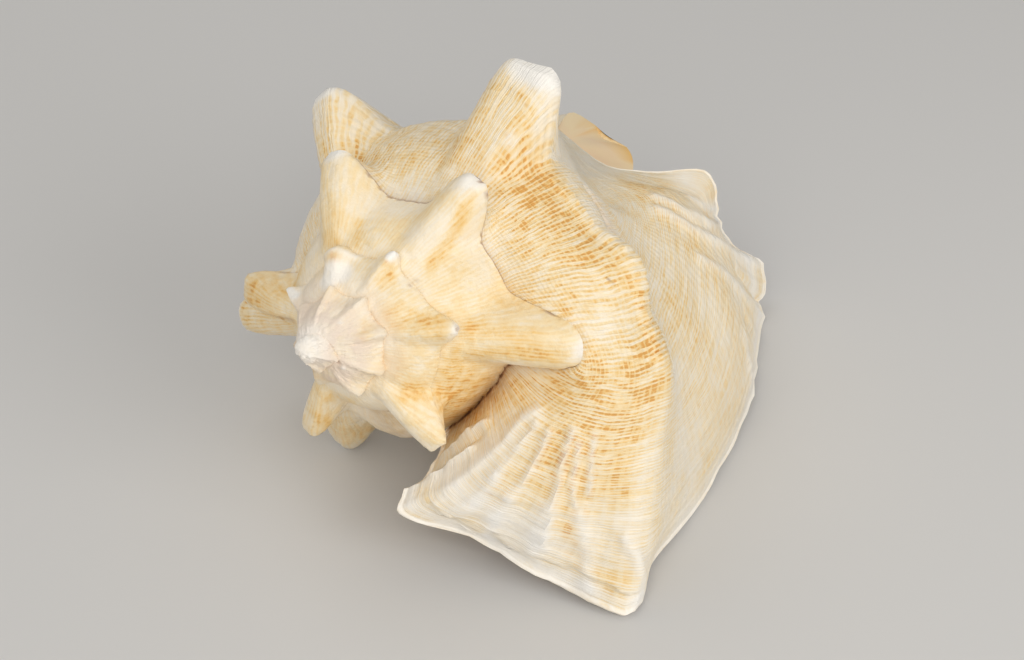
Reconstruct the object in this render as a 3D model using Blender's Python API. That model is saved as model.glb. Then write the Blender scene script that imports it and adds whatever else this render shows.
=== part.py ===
"""Conch shell, one grown piece: spire, spined last whorl, flared lip and the hollow behind the lip."""

import math

import bmesh
import bpy
import numpy as np

MM = 0.001
TURN = 360.0

# How the shell lies: its axis runs from the apex to the canal end.
AXIS_TILT = 16.5
UPPER_ANGLE = -47.6
APEX_PLACE = (-12.63, -117.96, 99.98)

# Growth angles in degrees: where the spire starts, where the lip's edge ends,
# the same growth line one turn earlier, and how far back the hollow reaches.
FIRST_ANGLE = -1332.0
LIP_ANGLE = 468.0
PARIETAL_ANGLE = LIP_ANGLE - TURN
HOLLOW_DEPTH = 180.0
ANGLE_STEP = 5.0

# Shoulder of the whorls without spines: (growth angle, radius mm), (growth angle, distance from apex mm).
SHOULDER_RADIUS = (
    (-1332, 0), (-1230, 2.5), (-1100, 5.5), (-960, 9), (-740, 15.5), (-600, 19.5), (-486, 22),
    (-430, 24.5), (-336, 30.5), (-275, 32.5), (-210, 34.5), (-148, 37), (-80, 39), (-26, 42),
    (34, 43.5), (83, 42.5), (104, 47), (120, 53.5), (153, 54), (196, 57), (265, 60), (321, 62), (350, 64),
    (377, 68),
)
SHOULDER_HEIGHT = (
    (-1332, 0), (-1230, 3), (-1100, 7), (-960, 13), (-740, 22), (-617, 24.5), (-486, 28.5),
    (-389, 33), (-275, 40), (-148, 48), (-80, 53), (-26, 58.5), (34, 65), (83, 69), (108, 71),
    (155, 78), (196, 81), (265, 88), (321, 96), (350, 96), (377, 96),
)

# Spines: growth angle, tip radius, tip distance from apex, half width, half thickness (mm), bluntness.
SPINES = (
    (377, 78, 94, 11, 6, 2.4),
    (324, 93, 90, 15, 10, 4.5),
    (265, 85, 81.5, 11, 10, 3.6),
    (197, 91, 73.5, 10.5, 9, 3.2),
    (156.5, 85.5, 84, 11, 10, 3.4),
    (34.4, 73, 62.5, 12, 8.5, 3),
    (-25, 64, 56, 11, 7.5, 2.6),
    (-80.7, 60, 51, 11, 7.5, 2.6),
    (-148, 62, 45.5, 10, 7.5, 2.6),
    (-210, 57, 42, 9, 7, 2.6),
    (-275, 51.7, 38.5, 8.5, 6.5, 2.4),
    (-336.4, 41.5, 35, 7, 5.5, 2.4),
    (-389, 34, 32.5, 5.5, 4, 2.2),
    (-430, 29, 30.5, 5, 4, 2.2),
    (-486, 26.5, 28, 4, 3, 2),
    (-570, 23, 25, 3.5, 2.5, 2),
    (-617, 21.6, 23.6, 3.5, 2.5, 2),
    (-657, 20.6, 22.8, 3.2, 2.5, 2),
    (-701, 20, 22, 3, 2.5, 2),
    (-740, 19, 21.5, 3, 2, 2),
)

NO_SPINE = (0.0, 0.0, 0.0, 1.0)

# Stations along a growth line: 0 at the suture, 1 on the shoulder, 2 at the canal end.
STATIONS = (
    0, 0.16, 0.25, 0.5, 0.75, 1, 1.07, 1.15, 1.3, 1.45, 1.6, 1.7, 1.8, 1.87, 1.94, 1.97, 2,
)
RAMP_SPREAD = (0, 0.20, 0.30, 0.58, 0.82)
RAMP_DROP = (0, 0.12, 0.18, 0.40, 0.68)
BODY_WIDTH = (1, 0.98, 0.94, 0.80, 0.64, 0.50)
BODY_DROP = (0, 0.06, 0.13, 0.30, 0.48, 0.66)
BODY_OFFSET = (0, 0, 0, 0, 3, 6)
BODY_GOAL = ((108, 225), (160, 215), (215, 200), (270, 183), (325, 172))

# The canal is an open gutter that bends back. Growth lines end on its rim: for each growth
# angle, (angle, radius, distance from apex) at the stations between the body and the end.
CANAL_ANGLE = -88.0
CANAL_END = (CANAL_ANGLE, 42.0, 198.0)
CANAL_LINES = {
    108: ((94, 17, 194), (-60, 8, 224), (-83, 22, 239), (-100, 39, 239), (-101, 49, 230)),
    160: ((165, 24, 185), (-139, 21, 212), (-108, 32, 232), (-105, 46, 230), (-102, 50, 221)),
    215: ((-137, 33, 180), (-123, 38, 202), (-112, 44, 216), (-106, 50, 218), (-101, 50, 212)),
    270: ((-102, 43, 172), (-102, 47, 186), (-100, 49, 197), (-96, 48, 202), (-92, 45, 201)),
    325: ((-55, 34, 160), (-66, 37, 172), (-75, 39, 181), (-82, 41, 190), (-85, 42, 194)),
}

# Growth lines of the flaring lip, by growth angle: (angle, radius, distance from apex) at each station.
LIP_LINES = {
    350: (
        (-10, 42, 60), (-10, 46, 64), (-10, 48.5, 66), (-10, 55, 74), (-10, 60, 85), (-10, 64, 96),
        (-9, 63, 101), (-8, 60.5, 107), (-7, 54, 119), (-6, 47.5, 131), (-5, 42, 140), (-8, 38, 146),
        (-17, 35, 152), (-30, 33, 158), (-52, 33, 170), (-67, 35, 180), CANAL_END,
    ),
    377: (
        (17, 45, 62), (16, 51, 64), (16, 55, 66), (16, 63, 73), (16.5, 69, 83), (17, 70, 96),
        (19, 67, 103), (21, 63, 112), (19, 54, 134), (12, 48, 150), (5, 44, 158), (-1, 41, 162),
        (-10, 37, 163), (-20, 34, 163), (-39, 32, 166), (-57, 33, 175), CANAL_END,
    ),
    400: (
        (41, 64, 66), (42, 69, 66), (42, 72, 67), (41, 79, 73), (41, 85, 83), (40, 89, 95),
        (42, 86, 102), (45, 80, 113), (40, 69, 142), (28, 57, 164), (14, 49, 176), (6, 45, 179),
        (-2, 42, 177), (-13, 37, 171), (-29, 33, 167), (-48, 33, 172), CANAL_END,
    ),
    425: (
        (66, 42, 66), (66, 54, 60), (66, 60, 58), (64, 75, 62), (62, 90, 72), (58, 101, 88),
        (60, 99, 99), (62, 96, 115), (59, 88, 148), (48, 73, 178), (33, 57, 192), (21, 52, 191),
        (8, 46, 190), (0, 42, 185), (-19, 35, 173), (-41, 32, 173), CANAL_END,
    ),
    450: (
        (90, 41, 68), (91, 54, 54), (92, 62, 48), (83, 84, 54), (76, 103, 64), (70, 119, 80),
        (71, 116, 95), (71, 112, 116), (69, 104, 150), (65, 88, 190), (54, 65, 215), (45, 52, 223),
        (22, 46, 206), (9, 45.5, 202), (-14, 36, 184), (-37, 32, 177), CANAL_END,
    ),
    468: (
        (107, 48, 68), (107, 60, 52), (112, 67, 39), (98, 88, 52), (87, 114, 60), (79, 135, 75),
        (79, 126, 90), (77, 121, 117), (74, 112.5, 149), (70.2, 97.3, 189.3), (69.5, 68.4, 243), (58.8, 56.8, 249.5),
        (31, 43, 220), (3, 51, 210), (-17, 35, 189), (-38, 31, 181), CANAL_END,
    ),
}
LAST_ROUND_LINE = 325
EARLY_LINES = (300, 325)

# The wall at the lip's edge, and where the hollow is DEEP_WALL_AT of its full depth. It thins
# over the last THIN_END of the stations, to the canal end.
EDGE_WALL = 3.6
DEEP_WALL = 6.5
DEEP_WALL_AT = 0.2
THIN_END = 0.2

# The shoulder's roundness in mm on the spire and on the last whorl, the growth angles between
# which it changes, the shoulder radius up to which it grows, and how long before the lip it fades.
SPIRE_SHOULDER = 1.6
BODY_SHOULDER = 5.0
SHOULDER_CHANGES = (90.0, 150.0)
ROUND_FROM_RADIUS = 45.0
LIP_FLATTENS = 60.0
ROUND_BELOW = 1.6
CORNER_FADES = (400.0, 460.0)

# A spine's buttresses, in stations: where it starts to rise on the ramp, how far it reaches
# down the whorl, and the powers of both slopes.
RISE_FROM = 0.45
RISE_POWER = 1.8
BUTTRESS = 0.38
BUTTRESS_POWER = 2.4
BUTTRESS_TAPER = 4

# How far the turn before shapes the ramp beside the suture, in stations.
SUTURE_REACH = 0.6
LIP_SUTURE_REACH = 0.45
INNER_SUTURE_REACH = 0.3

# The hollow: the station of its inner suture, the stations between which each wall narrows
# to a line beside the axis, that line (distance from apex, offset), and where it ends.
INNER_SUTURE = 1.07
OUTSIDE_NARROWS = (1.45, 2.0)
PARIETAL_NARROWS = (INNER_SUTURE, 1.45)
CANAL_CENTRE = ((100, 0), (135, 3), (150, 8), (172, 18), (187, 30), (198, 42))
INNERMOST_HEIGHT = 125.0
HOLLOW_STEPS = (0, 6, 16, 28, 43, 58, 73, 88, 103, 118, 133, 148, 163, HOLLOW_DEPTH)

# Where the mesh has its rows of vertices, and the width of the lip's rounded rim in degrees.
SHEET_STATIONS = (
    0, 0.16, 0.25, 0.45, 0.7, 0.88, 1, INNER_SUTURE, 1.11, 1.15, 1.22, 1.3, 1.38, 1.45, 1.53,
    1.6, 1.7, 1.8, 1.87, 1.94, 1.97, 2,
)
RIM_STEP = 1.5
SLOPE_STEP = 0.01
SMALL = 1e-6
WELD = 1e-6
SHARP_ANGLE = 60.0

SHELL_COLOUR = (0.80, 0.66, 0.48, 1.0)
SHELL_ROUGHNESS = 0.55


def curve_through(position, knots, values):
    """Smooth curve through the values at the knots."""
    knots = np.asarray(knots, float)
    values = np.asarray(values, float)
    position = np.clip(np.asarray(position, float), knots[0], knots[-1])
    gaps = np.diff(knots)
    wide = gaps.reshape((-1,) + (1,) * (values.ndim - 1))
    slopes = np.diff(values, axis=0) / wide
    tangents = np.empty_like(values)
    tangents[0], tangents[-1] = slopes[0], slopes[-1]
    tangents[1:-1] = (slopes[:-1] * wide[1:] + slopes[1:] * wide[:-1]) / (wide[1:] + wide[:-1])
    at = np.clip(np.searchsorted(knots, position, side="right") - 1, 0, len(gaps) - 1)
    shape = position.shape + (1,) * (values.ndim - 1)
    gap = gaps[at].reshape(shape)
    t = ((position - knots[at]) / gaps[at]).reshape(shape)
    return (
        (2 * t**3 - 3 * t**2 + 1) * values[at]
        + (t**3 - 2 * t**2 + t) * gap * tangents[at]
        + (3 * t**2 - 2 * t**3) * values[at + 1]
        + (t**3 - t**2) * gap * tangents[at + 1]
    )


def ease(value):
    value = np.clip(value, 0, 1)
    return value * value * (3 - 2 * value)


def around_axis(angle, radius, height):
    """Point in the shell's own frame: its axis is Z, from the apex to the canal end."""
    turned = np.radians(angle)
    return np.stack(np.broadcast_arrays(radius * np.cos(turned), radius * np.sin(turned), height), -1)


def points_at(line):
    return np.stack([around_axis(*point) for point in line])


def shoulder_radius(growth):
    return curve_through(growth, *zip(*SHOULDER_RADIUS))


def shoulder_height(growth):
    return curve_through(growth, *zip(*SHOULDER_HEIGHT))


def spine_at(growth):
    """How far the spines push the shoulder out and along the axis, their half thickness, and
    how near the middle of a spine this is, from 0 to 1."""
    growth = np.asarray(growth, float)
    out, along, thick, share = (np.zeros_like(growth) for _ in range(4))
    for centre, tip_radius, tip_height, half_width, half_thick, bluntness in SPINES:
        radius, height = shoulder_radius(centre), shoulder_height(centre)
        length = tip_radius - radius
        aside = np.radians(growth - centre) * (radius + 0.45 * length)
        near = np.exp(-(np.abs(aside / half_width) ** bluntness))
        out += length * near
        along += (tip_height - height) * near
        thick = np.maximum(thick, half_thick * near)
        share = np.maximum(share, near)
    return out, along, thick, share


def shoulder_line(growth, spines=True):
    out, along, _, _ = spine_at(growth) if spines else NO_SPINE
    return around_axis(growth, shoulder_radius(growth) + out, shoulder_height(growth) + along)


def round_line(growth):
    """Growth line of a whorl before the lip flares, as points at the stations."""
    growth = float(growth)
    inner_radius, outer_radius = shoulder_radius(growth - TURN), shoulder_radius(growth)
    inner_height, outer_height = shoulder_height(growth - TURN), shoulder_height(growth)
    spread, drop = np.array(RAMP_SPREAD), np.array(RAMP_DROP)
    ramp = around_axis(
        growth,
        inner_radius + (outer_radius - inner_radius) * spread,
        inner_height + (outer_height - inner_height) * drop,
    )
    goal = curve_through(growth, *zip(*BODY_GOAL))
    body = around_axis(
        growth,
        outer_radius * np.array(BODY_WIDTH),
        outer_height + (goal - outer_height) * np.array(BODY_DROP),
    )
    body = body + np.outer(BODY_OFFSET, around_axis(CANAL_ANGLE, 1.0, 0.0))
    canal = curve_through(growth, list(CANAL_LINES), [points_at(line) for line in CANAL_LINES.values()])
    return np.concatenate([ramp, body, canal, points_at([CANAL_END])])


def flaring_line(growth):
    knots = EARLY_LINES + tuple(LIP_LINES)
    lines = [round_line(g) for g in EARLY_LINES]
    lines += [points_at(line) for line in LIP_LINES.values()]
    return curve_through(np.array([float(growth)]), knots, np.stack(lines))[0]


def growth_line(growth):
    return flaring_line(growth) if growth > LAST_ROUND_LINE else round_line(growth)


def row_through(growth, stations):
    """The growth line at these stations, with a corner at the shoulder that fades out on the lip."""
    line = growth_line(growth)
    corner = STATIONS.index(1)
    ramp = curve_through(stations, STATIONS[: corner + 1], line[: corner + 1])
    body = curve_through(stations, STATIONS[corner:], line[corner:])
    broken = np.where((stations <= 1)[:, None], ramp, body)
    fade = ease((growth - CORNER_FADES[0]) / (CORNER_FADES[1] - CORNER_FADES[0]))
    return broken + fade * (curve_through(stations, STATIONS, line) - broken)


def shoulder_roundness(growth):
    start, end = SHOULDER_CHANGES
    plain = BODY_SHOULDER + (SPIRE_SHOULDER - BODY_SHOULDER) * ease((end - growth) / (end - start))
    plain *= np.clip(shoulder_radius(growth) / ROUND_FROM_RADIUS, 0, 1)
    return plain * np.clip((LIP_ANGLE - growth) / LIP_FLATTENS, 0, 1)


def outer_sheet(growths, stations, spines=True):
    """Outer surface as an array of points: a row for each growth angle, a point for each station."""
    stations = np.asarray(stations, float)
    on_ramp = stations <= 1
    rows = []
    for growth in growths:
        row = row_through(growth, stations)
        suture = shoulder_line(growth - TURN, spines)
        reach = LIP_SUTURE_REACH if growth > LAST_ROUND_LINE else SUTURE_REACH
        row += np.outer(np.clip(1 - stations / reach, 0, 1) ** 2, suture - row[0])
        out, along, thick, share = spine_at(growth) if spines else NO_SPINE
        below = np.clip((stations - 1) / BUTTRESS, 0, 1)
        above = np.clip((stations - RISE_FROM) / (1 - RISE_FROM), 0, 1)
        rise = np.where(on_ramp, above**RISE_POWER, (1 - below) ** BUTTRESS_POWER)
        rise = rise * max(share, SMALL) ** (BUTTRESS_TAPER * below)
        row += np.outer(rise * out, around_axis(growth, 1.0, 0.0))
        row[:, 2] += rise * along
        side = np.where(on_ramp, stations, (ROUND_BELOW - stations) / (ROUND_BELOW - 1))
        round_off = np.sqrt(1 - np.clip(side, 0, 1) ** 5)
        near = np.where(on_ramp, ease(stations / 0.8), -0.8 * ease((ROUND_BELOW - stations) / 0.4))
        row[:, 2] -= max(shoulder_roundness(growth), thick) * near * round_off
        rows.append(row)
    return np.stack(rows)


def canal_line(depth):
    """Innermost line of the hollow, from the canal end back up beside the axis."""
    height = CANAL_END[2] + (INNERMOST_HEIGHT - CANAL_END[2]) * depth
    heights, offsets = zip(*CANAL_CENTRE)
    offset = np.interp(height, heights, offsets)
    return around_axis(CANAL_ANGLE, offset, height)


def narrowed(row, stations, depth, narrows):
    """Draws a row of the hollow's wall in to the innermost line, between two stations."""
    full = min(1, depth * 2)
    start, end = (2 - (2 - station) * full for station in narrows)
    share = np.where(stations >= 2, 1.0, np.clip((stations - start) / max(end - start, SMALL), 0, 1))
    return row + share[:, None] * (canal_line(depth) - row)


def inner_sheet(growths, old_growths, stations):
    """Inside of the whorl's wall, set in from the outer surface."""
    stations = np.asarray(stations, float)
    low, high = (np.clip(stations + step, 0, 2) for step in (-SLOPE_STEP, SLOPE_STEP))
    rows = []
    for growth, old_growth in zip(growths, old_growths):
        depth = (PARIETAL_ANGLE - old_growth) / HOLLOW_DEPTH
        before, row = outer_sheet([growth - 1, growth], stations, spines=False)
        along = outer_sheet([growth], high, spines=False)[0] - outer_sheet([growth], low, spines=False)[0]
        outward = np.cross(row - before, along)
        outward /= np.linalg.norm(outward, axis=1)[:, None] + SMALL
        wall = EDGE_WALL + (DEEP_WALL - EDGE_WALL) * ease(depth / DEEP_WALL_AT)
        row -= outward * wall * np.sqrt(np.clip((2 - stations) / THIN_END, 0, 1))[:, None]
        suture = parietal_sheet([old_growth], [INNER_SUTURE])[0, 0]
        row += np.outer(np.clip(1 - stations / INNER_SUTURE_REACH, 0, 1) ** 1.5, suture - row[0])
        rows.append(narrowed(row, stations, depth, OUTSIDE_NARROWS))
    return np.stack(rows)


def parietal_sheet(old_growths, stations):
    """Wall of the turn before, as it is seen inside the mouth."""
    stations = np.asarray(stations, float)
    rows = []
    for old_growth in old_growths:
        depth = (PARIETAL_ANGLE - old_growth) / HOLLOW_DEPTH
        row = outer_sheet([old_growth], stations, spines=False)[0]
        rows.append(narrowed(row, stations, depth, PARIETAL_NARROWS))
    return np.stack(rows)


def lie_down(points):
    """Turns points of the shell's own frame to the way it lies, in metres."""
    tilt, turned = math.radians(AXIS_TILT), math.radians(UPPER_ANGLE)
    points = np.asarray(points, float)
    upward = points[..., 0] * math.cos(turned) + points[..., 1] * math.sin(turned)
    sideways = points[..., 1] * math.cos(turned) - points[..., 0] * math.sin(turned)
    along = points[..., 2]
    return MM * np.stack(
        [
            APEX_PLACE[0] + sideways,
            APEX_PLACE[1] + along * math.cos(tilt) + upward * math.sin(tilt),
            APEX_PLACE[2] - along * math.sin(tilt) + upward * math.cos(tilt),
        ],
        -1,
    )


def add_sheet(bm, points):
    """Adds a grid and moves its vertices to the points, given by column and row."""
    columns, rows = points.shape[:2]
    made = bmesh.ops.create_grid(bm, x_segments=columns - 1, y_segments=rows - 1, size=1.0)
    placed = lie_down(points)
    for vert in made["verts"]:
        column = round((vert.co.x + 1) / 2 * (columns - 1))
        row = round((vert.co.y + 1) / 2 * (rows - 1))
        vert.co = placed[column, row]


def build_shell(bm):
    rim_growth = LIP_ANGLE - RIM_STEP
    ramp = [s for s in SHEET_STATIONS if s <= 1]
    inside = [s for s in SHEET_STATIONS if s >= INNER_SUTURE]
    turns = rim_growth - TURN * np.arange(1, 5)
    spire_growths = np.append(np.arange(FIRST_ANGLE, PARIETAL_ANGLE, ANGLE_STEP), [PARIETAL_ANGLE, *turns])
    spire_growths = np.sort(spire_growths[spire_growths >= FIRST_ANGLE])
    last_growths = np.append(np.arange(PARIETAL_ANGLE, LIP_ANGLE, ANGLE_STEP), rim_growth)
    old_growths = PARIETAL_ANGLE - np.array(HOLLOW_STEPS, float)
    inner_growths = old_growths + TURN
    inner_growths[0] = rim_growth

    outer = outer_sheet(last_growths, SHEET_STATIONS)
    inner = inner_sheet(inner_growths, old_growths, SHEET_STATIONS)
    parietal = parietal_sheet(old_growths, inside)
    edge = outer_sheet([LIP_ANGLE], SHEET_STATIONS)[0]
    middle = edge + (inner[0] - outer[-1]) / 2
    middle[0] = shoulder_line(PARIETAL_ANGLE)
    middle[-1] = edge[-1]
    far = np.concatenate([np.repeat(parietal[-1:, 0], len(SHEET_STATIONS) - len(inside), 0), parietal[-1]])

    add_sheet(bm, outer_sheet(spire_growths, ramp))
    add_sheet(bm, outer)
    add_sheet(bm, np.stack([outer[-1], middle, inner[0]]))
    add_sheet(bm, inner)
    add_sheet(bm, parietal)
    add_sheet(bm, np.stack([inner[-1], far]))
    bmesh.ops.remove_doubles(bm, verts=bm.verts, dist=WELD)
    bmesh.ops.triangulate(bm, faces=bm.faces)
    bmesh.ops.recalc_face_normals(bm, faces=bm.faces)


def shell_material():
    material = bpy.data.materials.new("shell")
    material.use_nodes = True
    surface = material.node_tree.nodes["Principled BSDF"]
    surface.inputs["Base Color"].default_value = SHELL_COLOUR
    surface.inputs["Roughness"].default_value = SHELL_ROUGHNESS
    surface.inputs["Metallic"].default_value = 0.0
    return material


def main():
    for thing in list(bpy.data.objects):
        bpy.data.objects.remove(thing, do_unlink=True)
    parts = bpy.data.collections.new("conch_shell")
    bpy.context.scene.collection.children.link(parts)

    mesh = bpy.data.meshes.new("conch_shell")
    bm = bmesh.new()
    build_shell(bm)
    bm.to_mesh(mesh)
    bm.free()
    mesh.materials.append(shell_material())
    mesh.shade_smooth()
    mesh.set_sharp_from_angle(angle=math.radians(SHARP_ANGLE))
    parts.objects.link(bpy.data.objects.new("conch_shell", mesh))


main()
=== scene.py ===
"""Looks of a large conch shell that lies on its mouth.

The shell is one grown piece. Its surface is followed by two measures: the growth angle, in degrees
along the coil, and the station, from 0 at the suture over 1 on the shoulder to 2 at the canal end.
"""

import logging
import math
from dataclasses import dataclass, field
from enum import Enum
from functools import reduce
from typing import Iterable, Sequence

import bmesh
import bpy
import numpy as np
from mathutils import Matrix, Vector


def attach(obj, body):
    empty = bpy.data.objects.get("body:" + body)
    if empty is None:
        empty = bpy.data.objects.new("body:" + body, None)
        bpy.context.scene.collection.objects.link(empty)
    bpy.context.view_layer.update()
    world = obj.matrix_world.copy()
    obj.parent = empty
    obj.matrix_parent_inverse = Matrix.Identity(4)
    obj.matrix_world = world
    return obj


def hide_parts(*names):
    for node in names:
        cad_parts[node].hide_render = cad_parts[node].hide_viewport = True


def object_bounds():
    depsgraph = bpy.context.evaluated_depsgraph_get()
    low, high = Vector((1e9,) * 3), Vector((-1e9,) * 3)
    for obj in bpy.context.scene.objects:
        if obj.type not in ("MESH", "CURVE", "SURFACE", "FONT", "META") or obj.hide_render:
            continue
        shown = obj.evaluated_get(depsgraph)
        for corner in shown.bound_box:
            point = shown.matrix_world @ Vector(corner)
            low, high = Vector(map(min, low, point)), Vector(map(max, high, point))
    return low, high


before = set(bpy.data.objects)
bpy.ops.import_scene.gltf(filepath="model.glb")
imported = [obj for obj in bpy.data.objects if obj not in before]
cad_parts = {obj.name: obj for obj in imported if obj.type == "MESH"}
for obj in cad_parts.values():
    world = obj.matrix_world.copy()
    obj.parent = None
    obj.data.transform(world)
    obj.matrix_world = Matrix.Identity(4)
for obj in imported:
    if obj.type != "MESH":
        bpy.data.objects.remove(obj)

CAD_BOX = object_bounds()
PART = "conch_shell"

Array = np.ndarray
Line = Sequence[tuple[float, float, float]]
Colour = tuple[float, float, float]

log = logging.getLogger("conch")

MM = 0.001
TURN = 360.0
SMALL = 1e-6

FIRST_ANGLE = -1332.0
LIP_ANGLE = 468.0
PARIETAL_ANGLE = LIP_ANGLE - TURN
RIM_GROWTH = 466.5
HOLLOW_DEPTH = 180.0
INNER_SUTURE = 1.07

UV_PER_MM = 0.01
MM_PER_UV = 100.0


def from_srgb(red: float, green: float, blue: float) -> Colour:
    """Linear colour of an sRGB colour given as 0 to 255."""
    shares = (value / 255 for value in (red, green, blue))
    return tuple(s / 12.92 if s <= 0.04045 else ((s + 0.055) / 1.055) ** 2.4 for s in shares)


def curve_through(position: Array | float, knots: Sequence[float], values: Sequence) -> Array:
    """Smooth curve through values at knots.

    Args:
        position: Where on the curve, in the knots' units. It is kept between the end knots.
        knots: Rising places of the values.
        values: One number or point for each knot.

    Returns:
        The curve's values, one for each position.
    """
    knots = np.asarray(knots, float)
    values = np.asarray(values, float)
    position = np.clip(np.asarray(position, float), knots[0], knots[-1])
    gaps = np.diff(knots)
    wide = gaps.reshape((-1,) + (1,) * (values.ndim - 1))
    slopes = np.diff(values, axis=0) / wide
    tangents = np.empty_like(values)
    tangents[0], tangents[-1] = slopes[0], slopes[-1]
    tangents[1:-1] = (slopes[:-1] * wide[1:] + slopes[1:] * wide[:-1]) / (wide[1:] + wide[:-1])
    at = np.clip(np.searchsorted(knots, position, side="right") - 1, 0, len(gaps) - 1)
    shape = position.shape + (1,) * (values.ndim - 1)
    gap = gaps[at].reshape(shape)
    t = ((position - knots[at]) / gaps[at]).reshape(shape)
    return (
        (2 * t**3 - 3 * t**2 + 1) * values[at]
        + (t**3 - 2 * t**2 + t) * gap * tangents[at]
        + (3 * t**2 - 2 * t**3) * values[at + 1]
        + (t**3 - t**2) * gap * tangents[at + 1]
    )


def ease(value: Array | float) -> Array:
    """Smooth step from 0 to 1."""
    value = np.clip(value, 0, 1)
    return value * value * (3 - 2 * value)


def rise(value: Array | float, start: float, width: float) -> Array:
    """Smooth step from 0 at the start to 1 a width further on. A negative width goes the other way."""
    return ease((value - start) / width)


def unit(vectors: Array) -> Array:
    """The vectors at length 1."""
    return vectors / (np.linalg.norm(vectors, axis=-1, keepdims=True) + SMALL)


def around_axis(angle: Array | float, radius: Array | float, height: Array | float) -> Array:
    """Point in millimetres in the shell's own frame, whose Z runs from the apex to the canal end."""
    turned = np.radians(angle)
    return np.stack(np.broadcast_arrays(radius * np.cos(turned), radius * np.sin(turned), height), -1)


def points_at(line: Line) -> Array:
    """Points of a line that is given as angle, radius and height."""
    return np.stack([around_axis(*point) for point in line])


def wander(place: Array, seed: float) -> Array:
    """Slow waves without a period, about -1 to 1, along a measure in the waves' own lengths."""
    slow, quick = 0.6 * np.sin(1.73 * place + 2.1 * seed), 0.4 * np.sin(2.91 * place + 3.7 * seed)
    return (np.sin(place + seed) + slow + quick) / 1.5


def put_in_scene(name: str, data: bpy.types.ID) -> bpy.types.Object:
    """Object with this data, linked to the scene."""
    thing = bpy.data.objects.new(name, data)
    bpy.context.scene.collection.objects.link(thing)
    return thing


def new_material(name: str) -> tuple[bpy.types.Material, bpy.types.Node]:
    """Node material and its surface node."""
    material = bpy.data.materials.new(name)
    material.use_nodes = True
    return material, material.node_tree.nodes["Principled BSDF"]


@dataclass(frozen=True)
class Spine:
    """One hollow knob or spine on the shoulder, in degrees and millimetres."""

    growth: float
    radius: float
    height: float
    half_width: float
    half_thick: float
    bluntness: float


@dataclass(frozen=True)
class Rest:
    """How the shell lies: the tilt of its axis, which growth angle is up, and where the apex is."""

    axis_tilt: float = 16.5
    upper_angle: float = -47.6
    apex_place: tuple[float, float, float] = (-12.63, -117.96, 99.98)

    def place(self, points: Array) -> Array:
        """Turns points of the shell's own frame to the way it lies.

        Args:
            points: Points in millimetres, in the shell's own frame.

        Returns:
            The points in metres, in the row frame.
        """
        tilt, turned = math.radians(self.axis_tilt), math.radians(self.upper_angle)
        upward = points[..., 0] * math.cos(turned) + points[..., 1] * math.sin(turned)
        sideways = points[..., 1] * math.cos(turned) - points[..., 0] * math.sin(turned)
        along = points[..., 2]
        return MM * np.stack(
            [
                self.apex_place[0] + sideways,
                self.apex_place[1] + along * math.cos(tilt) + upward * math.sin(tilt),
                self.apex_place[2] - along * math.sin(tilt) + upward * math.cos(tilt),
            ],
            -1,
        )


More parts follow.
